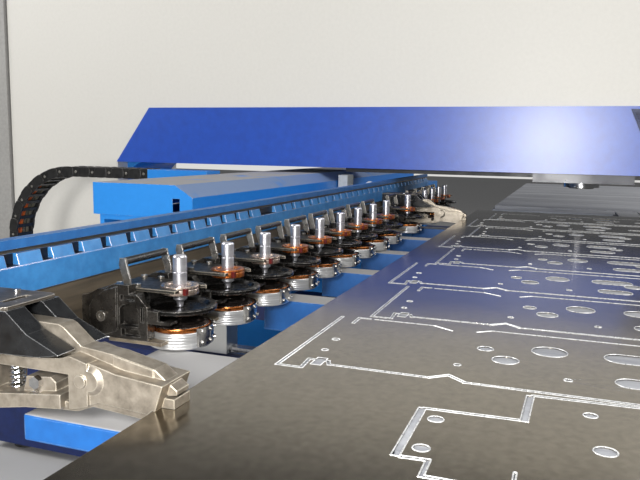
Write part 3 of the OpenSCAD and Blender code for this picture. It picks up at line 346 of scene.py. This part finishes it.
# Bare brown plate with polished rims on top of a hood
CAP = Finish("bare_brown_plate", "#6a6258", "#4a443d", 0.7, 0.36, 40.0, 1.8, 0.02, 0.1,
             edge_tone="#d9d2c6", edge_mm=1.6, edge_share=0.9)
ZINC = Finish("zinc_plated_fastener", "#e2e2e2", "#b9b9bb", 1.0, 0.2, 8.0, 1.2, 0.01, 0.06)
FOOT = Finish("raw_cast_foot", "#4b4a48", "#343331", 0.6, 0.55, 40.0, 3.0, 0.1)
NYLON = Finish("dusty_black_nylon", "#1d1c1b", "#0f0f0f", 0.0, 0.45, 30.0, 3.0, 0.05, 0.1,
               edge_tone="#5a564f", edge_mm=1.5, edge_share=0.6)
WHITE = Finish("white_moulding", "#e6e8e4", "#d6d8d4", 0.0, 0.35, 60.0, 2.0, 0.01)
BRISTLE = Finish("grey_bristle", "#a9aaad", "#7b7c82", 0.0, 0.55, 70.0, 3.0, 0.4, 0.1,
                 Grain.ALONG_Y)
ORANGE = Finish("orange_cable_jacket", "#c4602a", "#a04a1c", 0.0, 0.4, 40.0, 2.0, 0.01)
OLIVE = Finish("dusty_cable_jacket", "#5b5646", "#3f3c32", 0.0, 0.5, 40.0, 2.0, 0.01)
FLOOR = Finish("pale_floor", "#d4d2ce", "#cfcdc9", 0.0, 0.7, 4000.0, 30.0, 0.0)

NODE_FINISHES: dict[str, Finish] = {
    "c_frame": BLUE, "plinth": BLUE, "levelling_feet": FOOT, "side_covers": CREAM,
    "arm_bands": BAND, "vent_pads": MESH, "nose_cover": CREAM, "top_cover": CREAM, "arm_pan": PAN,
    "rear_cabinet": GREY, "base_covers": BLUE, "head_housing": NAVY, "ram_cylinder": MACHINED,
    "ram": GROUND, "punch_spindle": MACHINED, "die_housing": MACHINED, "die_spindle": GROUND,
    "centre_table": TABLE, "centre_brushes": BRISTLE, "chute_flap": MACHINED, "outriggers": BLUE_IN_PAINTED_SHADE,
    "y_guides": GROUND, "chain_tray": MACHINED, "cross_beam": BLUE, "slide_cover": DUSTY,
    "x_carriages": MACHINED, "y_carriages": MACHINED, "slide_arms": BLUE_IN_PAINTED_SHADE, "chain_bracket": BLUE,
    "energy_chain": NYLON, "hose_comb": WHITE, "table_beams": DUSTY, "table_decks": TABLE,
    "table_brushes": BRISTLE, "rail_beam": RAIL, "rail_flange": FLANGE, "tab_strip": TABS,
    "x_guides": GROUND, "cassette_bodies": CASTING, "cassette_screws": STRIP, "arm_plates": ARM,
    "lower_plates": BARE, "retaining_fingers": CASTING, "handle_legs": STRIP,
    "handle_grips": SLEEVE, "alignment_rings": RING, "punches": PUNCH, "strippers": BLACKED,
    "dies": DIE, "copper_bands": COPPER, "die_rings": TURNED, "die_brackets": CLIP,
    "clamp_lower_jaws": JAW, "clamp_hoods": HOOD, "clamp_caps": CAP, "clamp_fasteners": ZINC,
    "clamp_jaw_left": JAW, "clamp_jaw_right": JAW, "spring_left": ZINC, "spring_right": ZINC,
    "metal_sheet": SHEET,
}


def mesh_piece(name: str, shape: Shape, finish: Finish, smooth: bool = True) -> Any:
    """Makes an object from a shape, with its place in its mesh.

    Args:
        name: The piece's name.
        shape: Its points in metres, and its faces as corner indices, outwards.
        finish: The surface it gets.
        smooth: Whether its faces are shaded round.

    Returns:
        The object.
    """
    points, faces = shape
    mesh = bpy.data.meshes.new(name)
    mesh.from_pydata(points.tolist(), [], faces)
    mesh.validate()
    mesh.update()
    mesh.shade_smooth() if smooth else mesh.shade_flat()
    piece = bpy.data.objects.new(name, mesh)
    bpy.context.scene.collection.objects.link(piece)
    mesh.materials.append(finish.build())
    return piece


def merged_copy(node: str, name: str) -> Any:
    """An object whose mesh is a copy of a node's, with the doubled corners merged."""
    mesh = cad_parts[node].data.copy()
    shape = bmesh.new()
    shape.from_mesh(mesh)
    bmesh.ops.remove_doubles(shape, verts=shape.verts, dist=SAME_POINT)
    shape.to_mesh(mesh)
    shape.free()
    piece = bpy.data.objects.new(name, mesh)
    bpy.context.scene.collection.objects.link(piece)
    return piece


def bevelled(piece: Any, width: float) -> Any:
    """Breaks the piece's edges by a width in metres."""
    rounding = piece.modifiers.new("broken_edges", "BEVEL")
    rounding.width, rounding.segments, rounding.limit_method = width, 2, "ANGLE"
    rounding.harden_normals = False
    return piece


def quads(*corners: Array) -> Faces:
    """Faces of four corners each, from four arrays of the same size."""
    return [tuple(q) for q in np.stack(corners, axis=-1).reshape(-1, 4).tolist()]


def grid_faces(rows: int, columns: int) -> Faces:
    """Quads of a grid of rows by columns, closed round each row."""
    i, j = np.meshgrid(np.arange(rows - 1), np.arange(columns), indexing="ij")
    a = i * columns + j
    b = i * columns + (j + 1) % columns
    return quads(a, b, b + columns, a + columns)


def tube(path: Array, radius: float, sides: int) -> Shape:
    """A round tube: a circle carried along a path in the plane across it.

    Args:
        path: An N by 3 array of centre points.
        radius: The tube's radius.
        sides: Points round it.

    Returns:
        Its points and faces, with both ends closed.
    """
    way = np.gradient(path, axis=0)
    way /= np.linalg.norm(way, axis=1, keepdims=True)
    side = np.cross(way, np.array([1.0, 0.0, 0.0]) + 1e-4)
    side /= np.linalg.norm(side, axis=1, keepdims=True)
    over = np.cross(side, way)
    turn = np.linspace(0, 2 * np.pi, sides, endpoint=False)
    ring = (side[:, None] * np.cos(turn)[None, :, None]
            + over[:, None] * np.sin(turn)[None, :, None])
    points = (path[:, None] + radius * ring).reshape(-1, 3)
    faces = grid_faces(len(path), sides)
    faces.append(tuple(range(sides - 1, -1, -1)))
    faces.append(tuple(range((len(path) - 1) * sides, len(path) * sides)))
    return points, faces


def lathe(profile: Array, sides: int) -> Shape:
    """A closed profile of radius and height turned round the upright axis.

    Args:
        profile: An N by 2 array, anticlockwise with the radius to the right.
        sides: Steps round the axis.

    Returns:
        Its points and outward faces.
    """
    turn = np.linspace(0, 2 * np.pi, sides, endpoint=False)
    radius, height = profile[:, 0], profile[:, 1]
    count = len(profile)
    points = np.stack([np.outer(np.cos(turn), radius), np.outer(np.sin(turn), radius),
                       np.broadcast_to(height, (sides, count))], axis=-1).reshape(-1, 3)
    i, j = np.meshgrid(np.arange(sides), np.arange(count), indexing="ij")
    after, above = (i + 1) % sides, (j + 1) % count
    return points, quads(i * count + j, after * count + j, after * count + above,
                         i * count + above)


def plate_shape(outline: Array, low: float, high: float) -> Shape:
    """A flat plate: an anticlockwise outline between two heights."""
    count = len(outline)
    points = np.concatenate([np.column_stack([outline, np.full(count, z)]) for z in (low, high)])
    a = np.arange(count)
    b = (a + 1) % count
    ends = [tuple(range(count - 1, -1, -1)), tuple(range(count, 2 * count))]
    return points, ends + quads(a, b, b + count, a + count)


def box_shape(low: Triple, high: Triple) -> Shape:
    """The eight corners and six outward faces of a block."""
    x, y, z = zip(low, high)
    points = np.array([(x[i], y[j], z[k]) for i in (0, 1) for j in (0, 1) for k in (0, 1)])
    faces = [(0, 1, 3, 2), (4, 6, 7, 5), (0, 4, 5, 1), (2, 3, 7, 6), (0, 2, 6, 4), (1, 5, 7, 3)]
    return points, faces


def joined(shapes: list[Shape]) -> Shape:
    """Several shapes as one list of points and faces."""
    starts = np.cumsum([0] + [len(points) for points, _ in shapes]).tolist()
    faces = [tuple(c + start for c in face)
             for start, (_, group) in zip(starts, shapes) for face in group]
    return np.concatenate([points for points, _ in shapes]), faces


def copies(shape: Shape, places: Array) -> Shape:
    """The same shape at several places: each place is a 4 by 4 matrix applied to all points."""
    points, faces = shape
    flat = np.concatenate([points, np.ones((len(points), 1))], axis=1)
    moved = np.einsum("nij,pj->npi", places, flat)[..., :3].reshape(-1, 3)
    starts = range(0, len(moved), len(points))
    return moved, [tuple(c + start for c in face) for start in starts for face in faces]


def shifts(places: Array) -> Array:
    """A 4 by 4 matrix for each place, which moves without turning."""
    out = np.tile(np.eye(4), (len(places), 1, 1))
    out[:, :3, 3] = places
    return out


@dataclass
class Dressing:
    """Gives every node of the CAD model its finish."""

    finishes: dict[str, Finish] = field(default_factory=lambda: dict(NODE_FINISHES))

    def build(self) -> None:
        """Puts the finish in the material slot of each node's object."""
        for name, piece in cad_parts.items():
            piece.data.materials.clear()
            piece.data.materials.append(self.finishes[name].build())
        log.info("dressed %d nodes", len(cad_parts))


@dataclass
class ToolRow:
    """The parts of the tool stations that the photograph shows more finely than the solids.

    Heights are metres over the sheet plane. The arm plate is a fork round the alignment ring: its
    near prong runs straight on past the ring, its far prong wraps round it.
    """

    rail_start: float = -3.096
    pitch: float = 0.180
    axis_y: float = 0.686
    stations: tuple[int, ...] = (3, 4, 5, 6, 7, 8, 9, 10, 11, 13, 15, 16, 17, 18)
    pale_stations: tuple[int, ...] = (3, 5)
    ring_radius: float = 0.033
    plate_half: float = 0.046
    plate_back: float = 0.1117
    plate_low: float = 0.051
    plate_high: float = 0.057
    near_prong_end: float = -0.018
    far_prong_end: float = 0.022
    shank: float = 0.0126
    die_radius: float = 0.050
    gap: float = 0.0003
    steps: int = 72
    key_x: tuple[float, float] = (-0.0265, -0.0165)
    key_from_rim: tuple[float, float] = (0.0055, 0.0120)
    key_heights: tuple[float, float] = (0.0460, 0.0575)
    stud_heights: tuple[float, ...] = (-0.0115, -0.0205, -0.0295, -0.0385)
    stud_half: float = 0.0022
    stud_length: float = 0.0036
    stud_foot: float = 0.0040
    stud_turn: float = math.radians(-62)

    def places(self, stations: tuple[int, ...]) -> Array:
        """Where the tool axes of these stations meet the sheet plane."""
        x = self.rail_start + (np.array(stations) + 0.5) * self.pitch
        return np.stack([x, np.full(len(x), self.axis_y), np.full(len(x), SHEET_PLANE)], axis=1)

    def fork_outline(self) -> Array:
        """Outline of the plate, anticlockwise from the end of the near prong."""
        inner, outer = self.ring_radius + self.gap, self.plate_half
        inner_end = -math.acos(self.far_prong_end / inner) - 2 * math.pi
        inside = np.linspace(-math.pi, inner_end, 40)
        outside = np.linspace(-math.acos(self.far_prong_end / outer), 0.0, 16)
        return np.concatenate([
            [[-outer, self.near_prong_end], [-inner, self.near_prong_end]],
            inner * np.stack([np.cos(inside), np.sin(inside)], axis=1),
            outer * np.stack([np.cos(outside), np.sin(outside)], axis=1),
            [[outer, self.plate_back], [-outer, self.plate_back]]])

    def ring_shape(self) -> Shape:
        """The alignment ring: a turned ring with a groove round it and a countersunk top."""
        r, bore = self.ring_radius, self.shank
        return lathe(np.array([
            [bore, 0.0435], [r - 0.006, 0.0435], [r - 0.0006, 0.0440], [r, 0.0447],
            [r, 0.0532], [r - 0.0006, 0.0537], [r - 0.0006, 0.0543], [r, 0.0548],
            [r, 0.0586], [r - 0.0010, 0.0595], [bore + 0.009, 0.0595], [bore + 0.008, 0.0570],
            [bore, 0.0570]]), self.steps)

    def band_shape(self) -> Shape:
        """The copper band round the die, with softly rounded lips."""
        r = self.die_radius + self.gap
        return lathe(np.array([
            [r, -0.0160], [r + 0.0022, -0.0158], [r + 0.0026, -0.0150], [r + 0.0026, -0.0092],
            [r + 0.0020, -0.0082], [r, -0.0080]]), self.steps)

    def shell_shape(self) -> Shape:
        """The turned shell under the band, with shallow grooves every few millimetres."""
        r = self.die_radius + self.gap
        rows = [[r, -0.0450], [r + 0.0030, -0.0450], [r + 0.0040, -0.0437]]
        for z in (-0.0400, -0.0350, -0.0300, -0.0250, -0.0205):
            rows += [[r + 0.0040, z - 0.0006], [r + 0.0036, z], [r + 0.0040, z + 0.0006]]
        rows += [[r + 0.0040, -0.0176], [r + 0.0032, -0.0164], [r, -0.0163]]
        return lathe(np.array(rows), self.steps)

    def key_shape(self) -> Shape:
        """The red key that lies on the front of the alignment ring."""
        front, back = (inwards - self.ring_radius for inwards in self.key_from_rim)
        low, high = self.key_heights
        return box_shape((self.key_x[0], front, low), (self.key_x[1], back, high))

    def stud_shape(self) -> Shape:
        """The four index studs, one over the other on the die's clip."""
        half = self.stud_half
        points, faces = joined([
            box_shape((0.0, -half, z - half), (self.stud_length, half, z + half))
            for z in self.stud_heights])
        turn = self.stud_turn
        spin = np.array([[math.cos(turn), -math.sin(turn), 0], [math.sin(turn), math.cos(turn), 0],
                         [0, 0, 1]])
        return (points + np.array([self.die_radius + self.stud_foot, 0, 0])) @ spin.T, faces

    def add(self, name: str, shape: Shape, stations: tuple[int, ...], finish: Finish, slot: str,
            node: str, smooth: bool = True) -> Any:
        """Adds one shape at these stations as one piece that stands for a node."""
        piece = mesh_piece(name, copies(shape, shifts(self.places(stations))), finish, smooth)
        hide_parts(node)
        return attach(piece, "rail")

    def build(self) -> None:
        """Builds the forks, rings, bands, shells, keys and studs."""
        fork = plate_shape(self.fork_outline(), self.plate_low, self.plate_high)
        bevelled(self.add("fork_plates", fork, self.stations, ARM, "arm_steel", "arm_plates",
                          False), 0.0006)
        warm = tuple(k for k in self.stations if k not in self.pale_stations)
        for name, group, finish in (("pale_rings", self.pale_stations, RING),
                                    ("copper_rings", warm, WARM_RING)):
            bevelled(self.add(name, self.ring_shape(), group, finish, "ring_steel",
                              "alignment_rings"), 0.0002)
        self.add("copper_lips", self.band_shape(), self.stations, COPPER, "copper_band",
                 "copper_bands")
        self.add("turned_shells", self.shell_shape(), self.stations, TURNED, "die_aluminium",
                 "die_rings")
        bevelled(self.add("ring_keys", self.key_shape(), self.stations, RED_KEY, "ring_steel",
                          "alignment_rings", False), 0.0004)
        studs = copies(self.stud_shape(), shifts(self.places(self.stations)))
        extra = mesh_piece("index_studs", studs, CLIP, False)
        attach(bevelled(extra, 0.0008), "rail")
        log.info("tool row: %d stations", len(self.stations))

@dataclass
class ClampSprings:
    """The two coil springs, which the jaws press together as they open."""

    pivot_y: float = 0.581
    travel: float = math.radians(8)
    spare: float = 0.001

    def build(self) -> None:
        """Copies each spring's solid, with its doubled corners merged, in place of its node."""
        for side in ("left", "right"):
            node = f"spring_{side}"
            coil = merged_copy(node, f"coil_{side}")
            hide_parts(node)
            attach(coil, "rail")
            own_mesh(coil)


@dataclass
class RackRecess:
    """Near-black painted shade on the backs and floors of the gaps between the rack's tabs.

    Both strips run the rail's length inside the tabs' solid, and show only in the gaps.
    """

    inset: float = 0.013
    floor: float = 0.045
    floor_under: float = 0.002
    floor_over: float = 0.0005
    top: float = 0.0625
    front: float = 0.0008
    back: float = 0.0136
    back_wall: float = 0.0008

    def build(self) -> None:
        """Builds the two strips from the strip's own box."""
        low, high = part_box("tab_strip")
        near, far = low.x + self.inset, high.x - self.inset
        base, back = low.z + self.floor, low.y + self.back
        strips = joined([
            box_shape((near, low.y + self.front, base - self.floor_under),
                      (far, back, base + self.floor_over)),
            box_shape((near, back - self.back_wall, base), (far, back, low.z + self.top))])
        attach(mesh_piece("rack_recess", strips, RECESS_PAINTED_SHADE, False), "rail")


@dataclass
class TableBeams:
    """Cross beams of the two moving tables, and the flat tray at the end of each."""

    inner: float = 0.400
    pitch: float = 0.398
    width: float = 0.078
    top: float = 0.9519
    bottom: float = 0.878
    tray: Triple = (2.498, 2.824, 0.916)
    count: int = 5
    back: float = -0.795
    near_end: float = 0.704
    far_end: float = 0.440
    saddles: tuple[float, ...] = (-0.615, 0.175, 0.505)
    saddle_length: float = 0.090
    saddle_inset: float = 0.004
    saddle_foot: float = 0.8316

    def side(self, sign: int) -> Shape:
        """The beams, tray and saddles on one side of the punch."""
        end = self.near_end if sign < 0 else self.far_end
        starts = [self.inner + i * self.pitch for i in range(self.count)]
        spans = [(start, start + self.width, self.bottom) for start in starts] + [self.tray]
        shapes = []
        for near, far, low in spans:
            x0, x1 = sorted((sign * near, sign * far))
            shapes.append(box_shape((x0, self.back, low), (x1, end, self.top)))
            shapes += [box_shape((x0 + self.saddle_inset, y, self.saddle_foot),
                                 (x1 - self.saddle_inset, y + self.saddle_length, low))
                       for y in self.saddles if y + self.saddle_length < end]
        return joined(shapes)

    def build(self) -> None:
        """Builds both sides as one piece on the cross slide."""
        both = joined([self.side(-1), self.side(1)])
        piece = mesh_piece("cross_beams", both, BEAM, False)
        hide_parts("table_beams")
        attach(bevelled(piece, 0.003), "cross_slide")


@dataclass
class MetalSheet:
    """The sheet in the clamps, with a raised lip along each cut whose near-white colour is a
    painted highlight.

    The sheet is a merged copy of the solid, longer at its near edge by what can be seen there
    and a little more.
    """

    cad_edge: float = -2.950
    near_edge: float = -3.060
    edge_slack: float = 0.001
    flatness: float = 2e-4
    margin: float = 1e-4
    shortest: float = 1e-4
    lip_half: float = 0.0009
    lip_height: float = 0.0007
    crest_share: float = 0.4

    def build(self) -> None:
        """Builds the sheet and its lips."""
        piece = merged_copy("metal_sheet", "worked_sheet")
        mesh = piece.data
        points = np.empty(len(mesh.vertices) * 3)
        mesh.vertices.foreach_get("co", points)
        points = points.reshape(-1, 3)
        points[points[:, 0] < self.cad_edge + self.edge_slack, 0] = self.near_edge
        mesh.vertices.foreach_set("co", points.ravel())
        mesh.update()
        mesh.materials.clear()
        mesh.materials.append(SHEET.build())
        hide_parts("metal_sheet")
        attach(piece, "rail")
        # The lips' near-white colour is a painted highlight along the cuts
        lips = mesh_piece("cut_lip_highlights", self.lips(mesh, points), CUT_LIP_PAINTED_HIGHLIGHT, False)
        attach(lips, "rail")

    def rim(self, mesh: Any, points: Array) -> Array:
        """Both ends of each edge where the top face meets the wall of a cut.

        Such an edge belongs to a single triangle of the top face, and isn't one of the sheet's
        own four edges.
        """
        mesh.calc_loop_triangles()
        corners = np.empty(len(mesh.loop_triangles) * 3, dtype=np.int64)
        mesh.loop_triangles.foreach_get("vertices", corners)
        triangles = corners.reshape(-1, 3)
        top = np.abs(points[triangles][:, :, 2] - SHEET_PLANE).max(axis=1) < self.flatness
        sides = np.concatenate([triangles[top][:, pair] for pair in ([0, 1], [1, 2], [2, 0])])
        _, index, number = np.unique(np.sort(sides, axis=1), axis=0, return_index=True,
                                     return_counts=True)
        ends = points[sides[index[number == 1]]]
        low = points.min(axis=0)[:2] + self.margin
        high = points.max(axis=0)[:2] - self.margin
        within = ((ends[:, :, :2] > low) & (ends[:, :, :2] < high)).all(axis=2).any(axis=1)
        return ends[within]

    def lips(self, mesh: Any, points: Array) -> Shape:
        """A low prism on the sheet along each cut edge, wider at its foot than at its crest."""
        ends = self.rim(mesh, points)
        a, b = ends[:, 0], ends[:, 1]
        length = np.linalg.norm(b - a, axis=1)
        keep = length > self.shortest
        a, b, way = a[keep], b[keep], (b - a)[keep] / length[keep, None]
        across = np.stack([-way[:, 1], way[:, 0], np.zeros(len(way))], axis=1) * self.lip_half
        crest = across * self.crest_share
        up = np.array([0.0, 0.0, self.lip_height])
        prisms = np.stack([a - across, a + across, a + crest + up, a - crest + up,
                           b - across, b + across, b + crest + up, b - crest + up], axis=1)
        faces = np.array([[0, 1, 2, 3], [7, 6, 5, 4], [1, 5, 6, 2], [3, 2, 6, 7], [0, 3, 7, 4],
                          [4, 5, 1, 0]])
        starts = np.arange(len(a))[:, None] * prisms.shape[1]
        log.info("sheet: %d cut edges", len(a))
        return prisms.reshape(-1, 3), quads(*(starts + column for column in faces.T))


@dataclass
class RailPipe:
    """The short white pipe that comes up out of the rail's top and bends over behind it."""

    x: float = -0.400
    start: tuple[float, float] = (0.853, 1.088)
    middle: tuple[float, float] = (0.915, 1.140)
    end: tuple[float, float] = (0.946, 1.126)
    radius: float = 0.006
    steps: int = 24
    sides: int = 12

    def build(self) -> None:
        """Builds the pipe along a curve through its three points."""
        t = np.linspace(0, 1, self.steps)[:, None]
        start, over, end = (np.array([self.x, *p]) for p in (self.start, self.middle, self.end))
        handle = 2 * over - (start + end) / 2
        path = (1 - t) ** 2 * start + 2 * t * (1 - t) * handle + t ** 2 * end
        pipe = mesh_piece("white_pipe", tube(path, self.radius, self.sides), PIPE)
        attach(pipe, "rail")


@dataclass(frozen=True)
class Cable:
    """One cable in the chain: its place across the chain, its radius and its jacket."""

    across: float
    radius: float
    jacket: Finish


@dataclass
class EnergyChain:
    """The chain that leads the slide's cables: links round a bend, with cables inside."""

    x: float = -0.800
    centre_y: float = 2.263
    centre_z: float = 0.824
    outer: float = 0.370
    link_height: float = 0.050
    width: float = 0.120
    top_end: float = 1.828
    low_end: float = 1.560
    pitch: float = 0.046
    plate_overlap: float = 0.72
    plate_thick: float = 0.0045
    plate_corner: float = 0.55
    plate_sides: int = 20
    rim_share: float = 0.94
    rim_depth: float = 0.001
    plate_inset: float = 0.010
    bar_inset: float = 0.012
    bar_half: float = 0.008
    bar_heights: tuple[tuple[float, float], ...] = ((0.016, 0.022), (-0.022, -0.016))
    pin_inset: float = 0.0055
    pin_steps: int = 16
    cable_sides: int = 12
    cable_drop: float = 0.003
    cable_step: float = 0.002
    cables: tuple[Cable, ...] = (Cable(-0.034, 0.009, ORANGE), Cable(-0.014, 0.008, ORANGE),
                                 Cable(0.006, 0.0095, OLIVE), Cable(0.028, 0.010, OLIVE))

    def middle(self, offset: float) -> tuple[Array, Array]:
        """The chain's path at a distance from its middle line.

        Args:
            offset: Metres outwards from the middle of the links.

        Returns:
            Points along the way, and the angle of the way at each.
        """
        radius = self.outer - self.link_height / 2
        top = self.centre_y - self.top_end
        bent = top + math.pi * radius
        total = bent + self.centre_y - self.low_end
        count = int(total / self.pitch)
        s = (np.arange(count) + 0.5) * total / count
        turn = np.clip((s - top) / radius, 0, math.pi)
        y = self.centre_y + np.where(s < top, s - top, 0) - np.where(s > bent, s - bent, 0)
        y = y + (radius + offset) * np.sin(turn)
        z = self.centre_z + (radius + offset) * np.cos(turn)
        return np.stack([np.full(count, self.x), y, z], axis=1), -turn

    def link_plate(self) -> Shape:
        """One side plate: an oval with a bevelled rim on both faces."""
        sides, thick, depth = self.plate_sides, self.plate_thick, self.rim_depth
        half, tall = self.pitch * self.plate_overlap, self.link_height / 2 - 0.001
        turn = np.linspace(0, 2 * np.pi, sides, endpoint=False)
        y = half * np.sign(np.cos(turn)) * np.abs(np.cos(turn)) ** self.plate_corner
        z = tall * np.sign(np.sin(turn)) * np.abs(np.sin(turn)) ** self.plate_corner
        rows = [(-thick, self.rim_share), (-thick + depth, 1.0), (thick - depth, 1.0),
                (thick, self.rim_share)]
        points = np.concatenate([np.stack([np.full(sides, x), y * k, z * k], axis=1)
                                 for x, k in rows])
        faces = [tuple(reversed(f)) for f in grid_faces(len(rows), sides)]
        last = len(points)
        return points, faces + [tuple(range(sides)), tuple(range(last - 1, last - 1 - sides, -1))]

    def pin(self) -> Shape:
        """The round head of the pin between two links, lying across the chain."""
        points, faces = lathe(np.array([
            [0.0005, 0.0], [0.0062, 0.0], [0.0062, 0.0020], [0.0045, 0.0030],
            [0.0005, 0.0030]]), self.pin_steps)
        return points @ np.array([[0, 0, 1], [0, 1, 0], [-1, 0, 0]]), faces

    def matrices(self, shift: float | Array) -> Array:
        """Places of the links: turned by the angle of the way, moved sideways by the shift."""
        middle, angle = self.middle(0.0)
        out = np.zeros((len(middle), 4, 4))
        out[:, 0, 0] = 1
        out[:, 1, 1], out[:, 1, 2] = np.cos(angle), -np.sin(angle)
        out[:, 2, 1], out[:, 2, 2] = np.sin(angle), np.cos(angle)
        out[:, 3, 3] = 1
        out[:, :3, 3] = middle
        out[:, 0, 3] += shift
        return out

    def build(self) -> None:
        """Builds the side plates, the bars between them, the pins and the cables."""
        count = len(self.middle(0.0)[0])
        stagger = np.where(np.arange(count) % 2 == 0, 0.0, self.plate_thick)
        side_x, reach = self.width / 2 - self.plate_inset, self.width / 2 - self.bar_inset
        links = [copies(self.link_plate(), self.matrices(side * side_x + side * stagger))
                 for side in (-1, 1)]
        links += [copies(box_shape((-reach, -self.bar_half, low), (reach, self.bar_half, high)),
                         self.matrices(0.0)) for low, high in self.bar_heights]
        piece = mesh_piece("chain_links", joined(links), NYLON, False)
        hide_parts("energy_chain")
        self.bend(piece)
        for name, side in (("near", -1), ("far", 1)):
            pins = copies(self.pin(), self.matrices(side * (self.width / 2 - self.pin_inset)))
            self.bend(mesh_piece(f"chain_pins_{name}", pins, BOSS))
        for n, cable in enumerate(self.cables):
            path, _ = self.middle(-self.cable_drop - self.cable_step * (n % 2))
            path[:, 0] += cable.across
            jacket = tube(path, cable.radius, self.cable_sides)
            self.bend(mesh_piece(f"chain_cable_{n + 1}", jacket, cable.jacket))
        log.info("energy chain: %d links", count)

    def bend(self, piece: Any) -> None:
        """Bakes the piece's placement into its mesh."""
        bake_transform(piece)


@dataclass(frozen=True)
class Lamp:
    """A square soft light: where it is, what it points at, its side and its power."""

    name: str
    place: Triple
    aim: Triple
    size: float
    watts: float


@dataclass
class Studio:
    """Plain pale floor, soft lights and the camera of the photograph."""

    eye: Triple = (-3.500, 0.055, 1.302)
    yaw: float = 0.3449
    pitch: float = 0.1340
    roll: float = 0.0175
    focal_px: float = 688.34
    width_px: int = 640
    sensor_mm: float = 36.0
    floor_half: float = 30.0
    floor_z: float = -0.002
    lamps: tuple[Lamp, ...] = (
        Lamp("near_light", (-3.66, 0.24, 1.46), (-0.3, 0.6, 1.15), 0.20, 24.0),
        Lamp("glare_light", (-7.0, 0.34, 1.41), (-0.3, 0.4, 1.30), 1.0, 150.0),
        Lamp("ceiling_light", (-2.5, -2.5, 4.2), (-0.6, 0.6, 0.9), 3.5, 105.0),
        Lamp("far_light", (4.5, -3.0, 4.0), (0.5, 0.5, 1.0), 3.5, 170.0),
        Lamp("back_light", (-2.5, 5.5, 4.2), (-0.5, 1.5, 1.0), 3.5, 150.0))

    def camera(self) -> None:
        """Places the camera by its yaw, pitch and roll, worked out from the photograph."""
        level = math.cos(self.pitch)
        ahead = np.array([math.cos(self.yaw) * level, math.sin(self.yaw) * level,
                          -math.sin(self.pitch)])
        right = np.array([math.sin(self.yaw), -math.cos(self.yaw), 0.0])
        up = np.cross(right, ahead)
        turned = math.cos(self.roll) * right + math.sin(self.roll) * up
        above = -math.sin(self.roll) * right + math.cos(self.roll) * up
        lens = bpy.data.cameras.new("camera")
        lens.sensor_width = self.sensor_mm
        lens.lens = self.focal_px / self.width_px * self.sensor_mm
        lens.clip_start = 0.01
        lens.clip_end = 200.0
        eye = bpy.data.objects.new("camera", lens)
        bpy.context.scene.collection.objects.link(eye)
        axes = np.stack([turned, above, -ahead], axis=1)
        eye.matrix_world = Matrix.Translation(self.eye) @ Matrix(axes.tolist()).to_4x4()
        bpy.context.scene.camera = eye

    def light(self, lamp: Lamp) -> None:
        """Adds a lamp that the camera doesn't see."""
        light = bpy.data.lights.new(lamp.name, "AREA")
        light.size, light.energy = lamp.size, lamp.watts
        body = bpy.data.objects.new(lamp.name, light)
        bpy.context.scene.collection.objects.link(body)
        turn = (Vector(lamp.aim) - Vector(lamp.place)).to_track_quat("-Z", "Y").to_matrix()
        body.matrix_world = Matrix.Translation(lamp.place) @ turn.to_4x4()
        body.visible_camera = False

    def floor(self) -> None:
        """A pale floor just under the feet."""
        edges = (-self.floor_half, self.floor_half)
        points = [(x, y, self.floor_z) for x in edges for y in edges]
        mesh = bpy.data.meshes.new("floor")
        mesh.from_pydata(points, [], [(0, 2, 3, 1)])
        ground = bpy.data.objects.new("floor", mesh)
        bpy.context.scene.collection.objects.link(ground)
        mesh.materials.append(FLOOR.build())

    def world(self) -> None:
        """A pale surround for the eye and for what is seen through glass, dimmer as a light and in
        reflections.
        """
        world = bpy.data.worlds.new("surround")
        world.use_nodes = True
        tree = world.node_tree
        tree.nodes.clear()
        path = add_node(tree, "ShaderNodeLightPath").outputs
        seen = add_node(tree, "ShaderNodeMath",
                        {0: path["Is Camera Ray"], 1: path["Is Transmission Ray"]},
                        operation="MAXIMUM").outputs[0]
        soft = add_node(tree, "ShaderNodeBackground", {0: srgb("#e4e6ea"), 1: 0.16}).outputs[0]
        pale = add_node(tree, "ShaderNodeBackground", {0: srgb("#dcdbd8"), 1: 1.0}).outputs[0]
        both = add_node(tree, "ShaderNodeMixShader", {0: seen, 1: soft, 2: pale}).outputs[0]
        add_node(tree, "ShaderNodeOutputWorld", {0: both})
        bpy.context.scene.world = world

    def build(self) -> None:
        """Sets up the camera, the floor, the surround and the lights."""
        bpy.context.scene.view_settings.view_transform = "Standard"
        self.camera()
        self.floor()
        self.world()
        for lamp in self.lamps:
            self.light(lamp)
        log.info("studio ready")


def main() -> None:
    """Builds the looks in order."""
    logging.basicConfig(level=logging.INFO, format="%(name)s: %(message)s")
    for part in (Studio(), Dressing(), ToolRow(), ClampSprings(), RackRecess(), TableBeams(),
                 MetalSheet(), RailPipe(), EnergyChain()):
        part.build()
    bpy.context.view_layer.update()


if __name__ == "__main__":
    main()
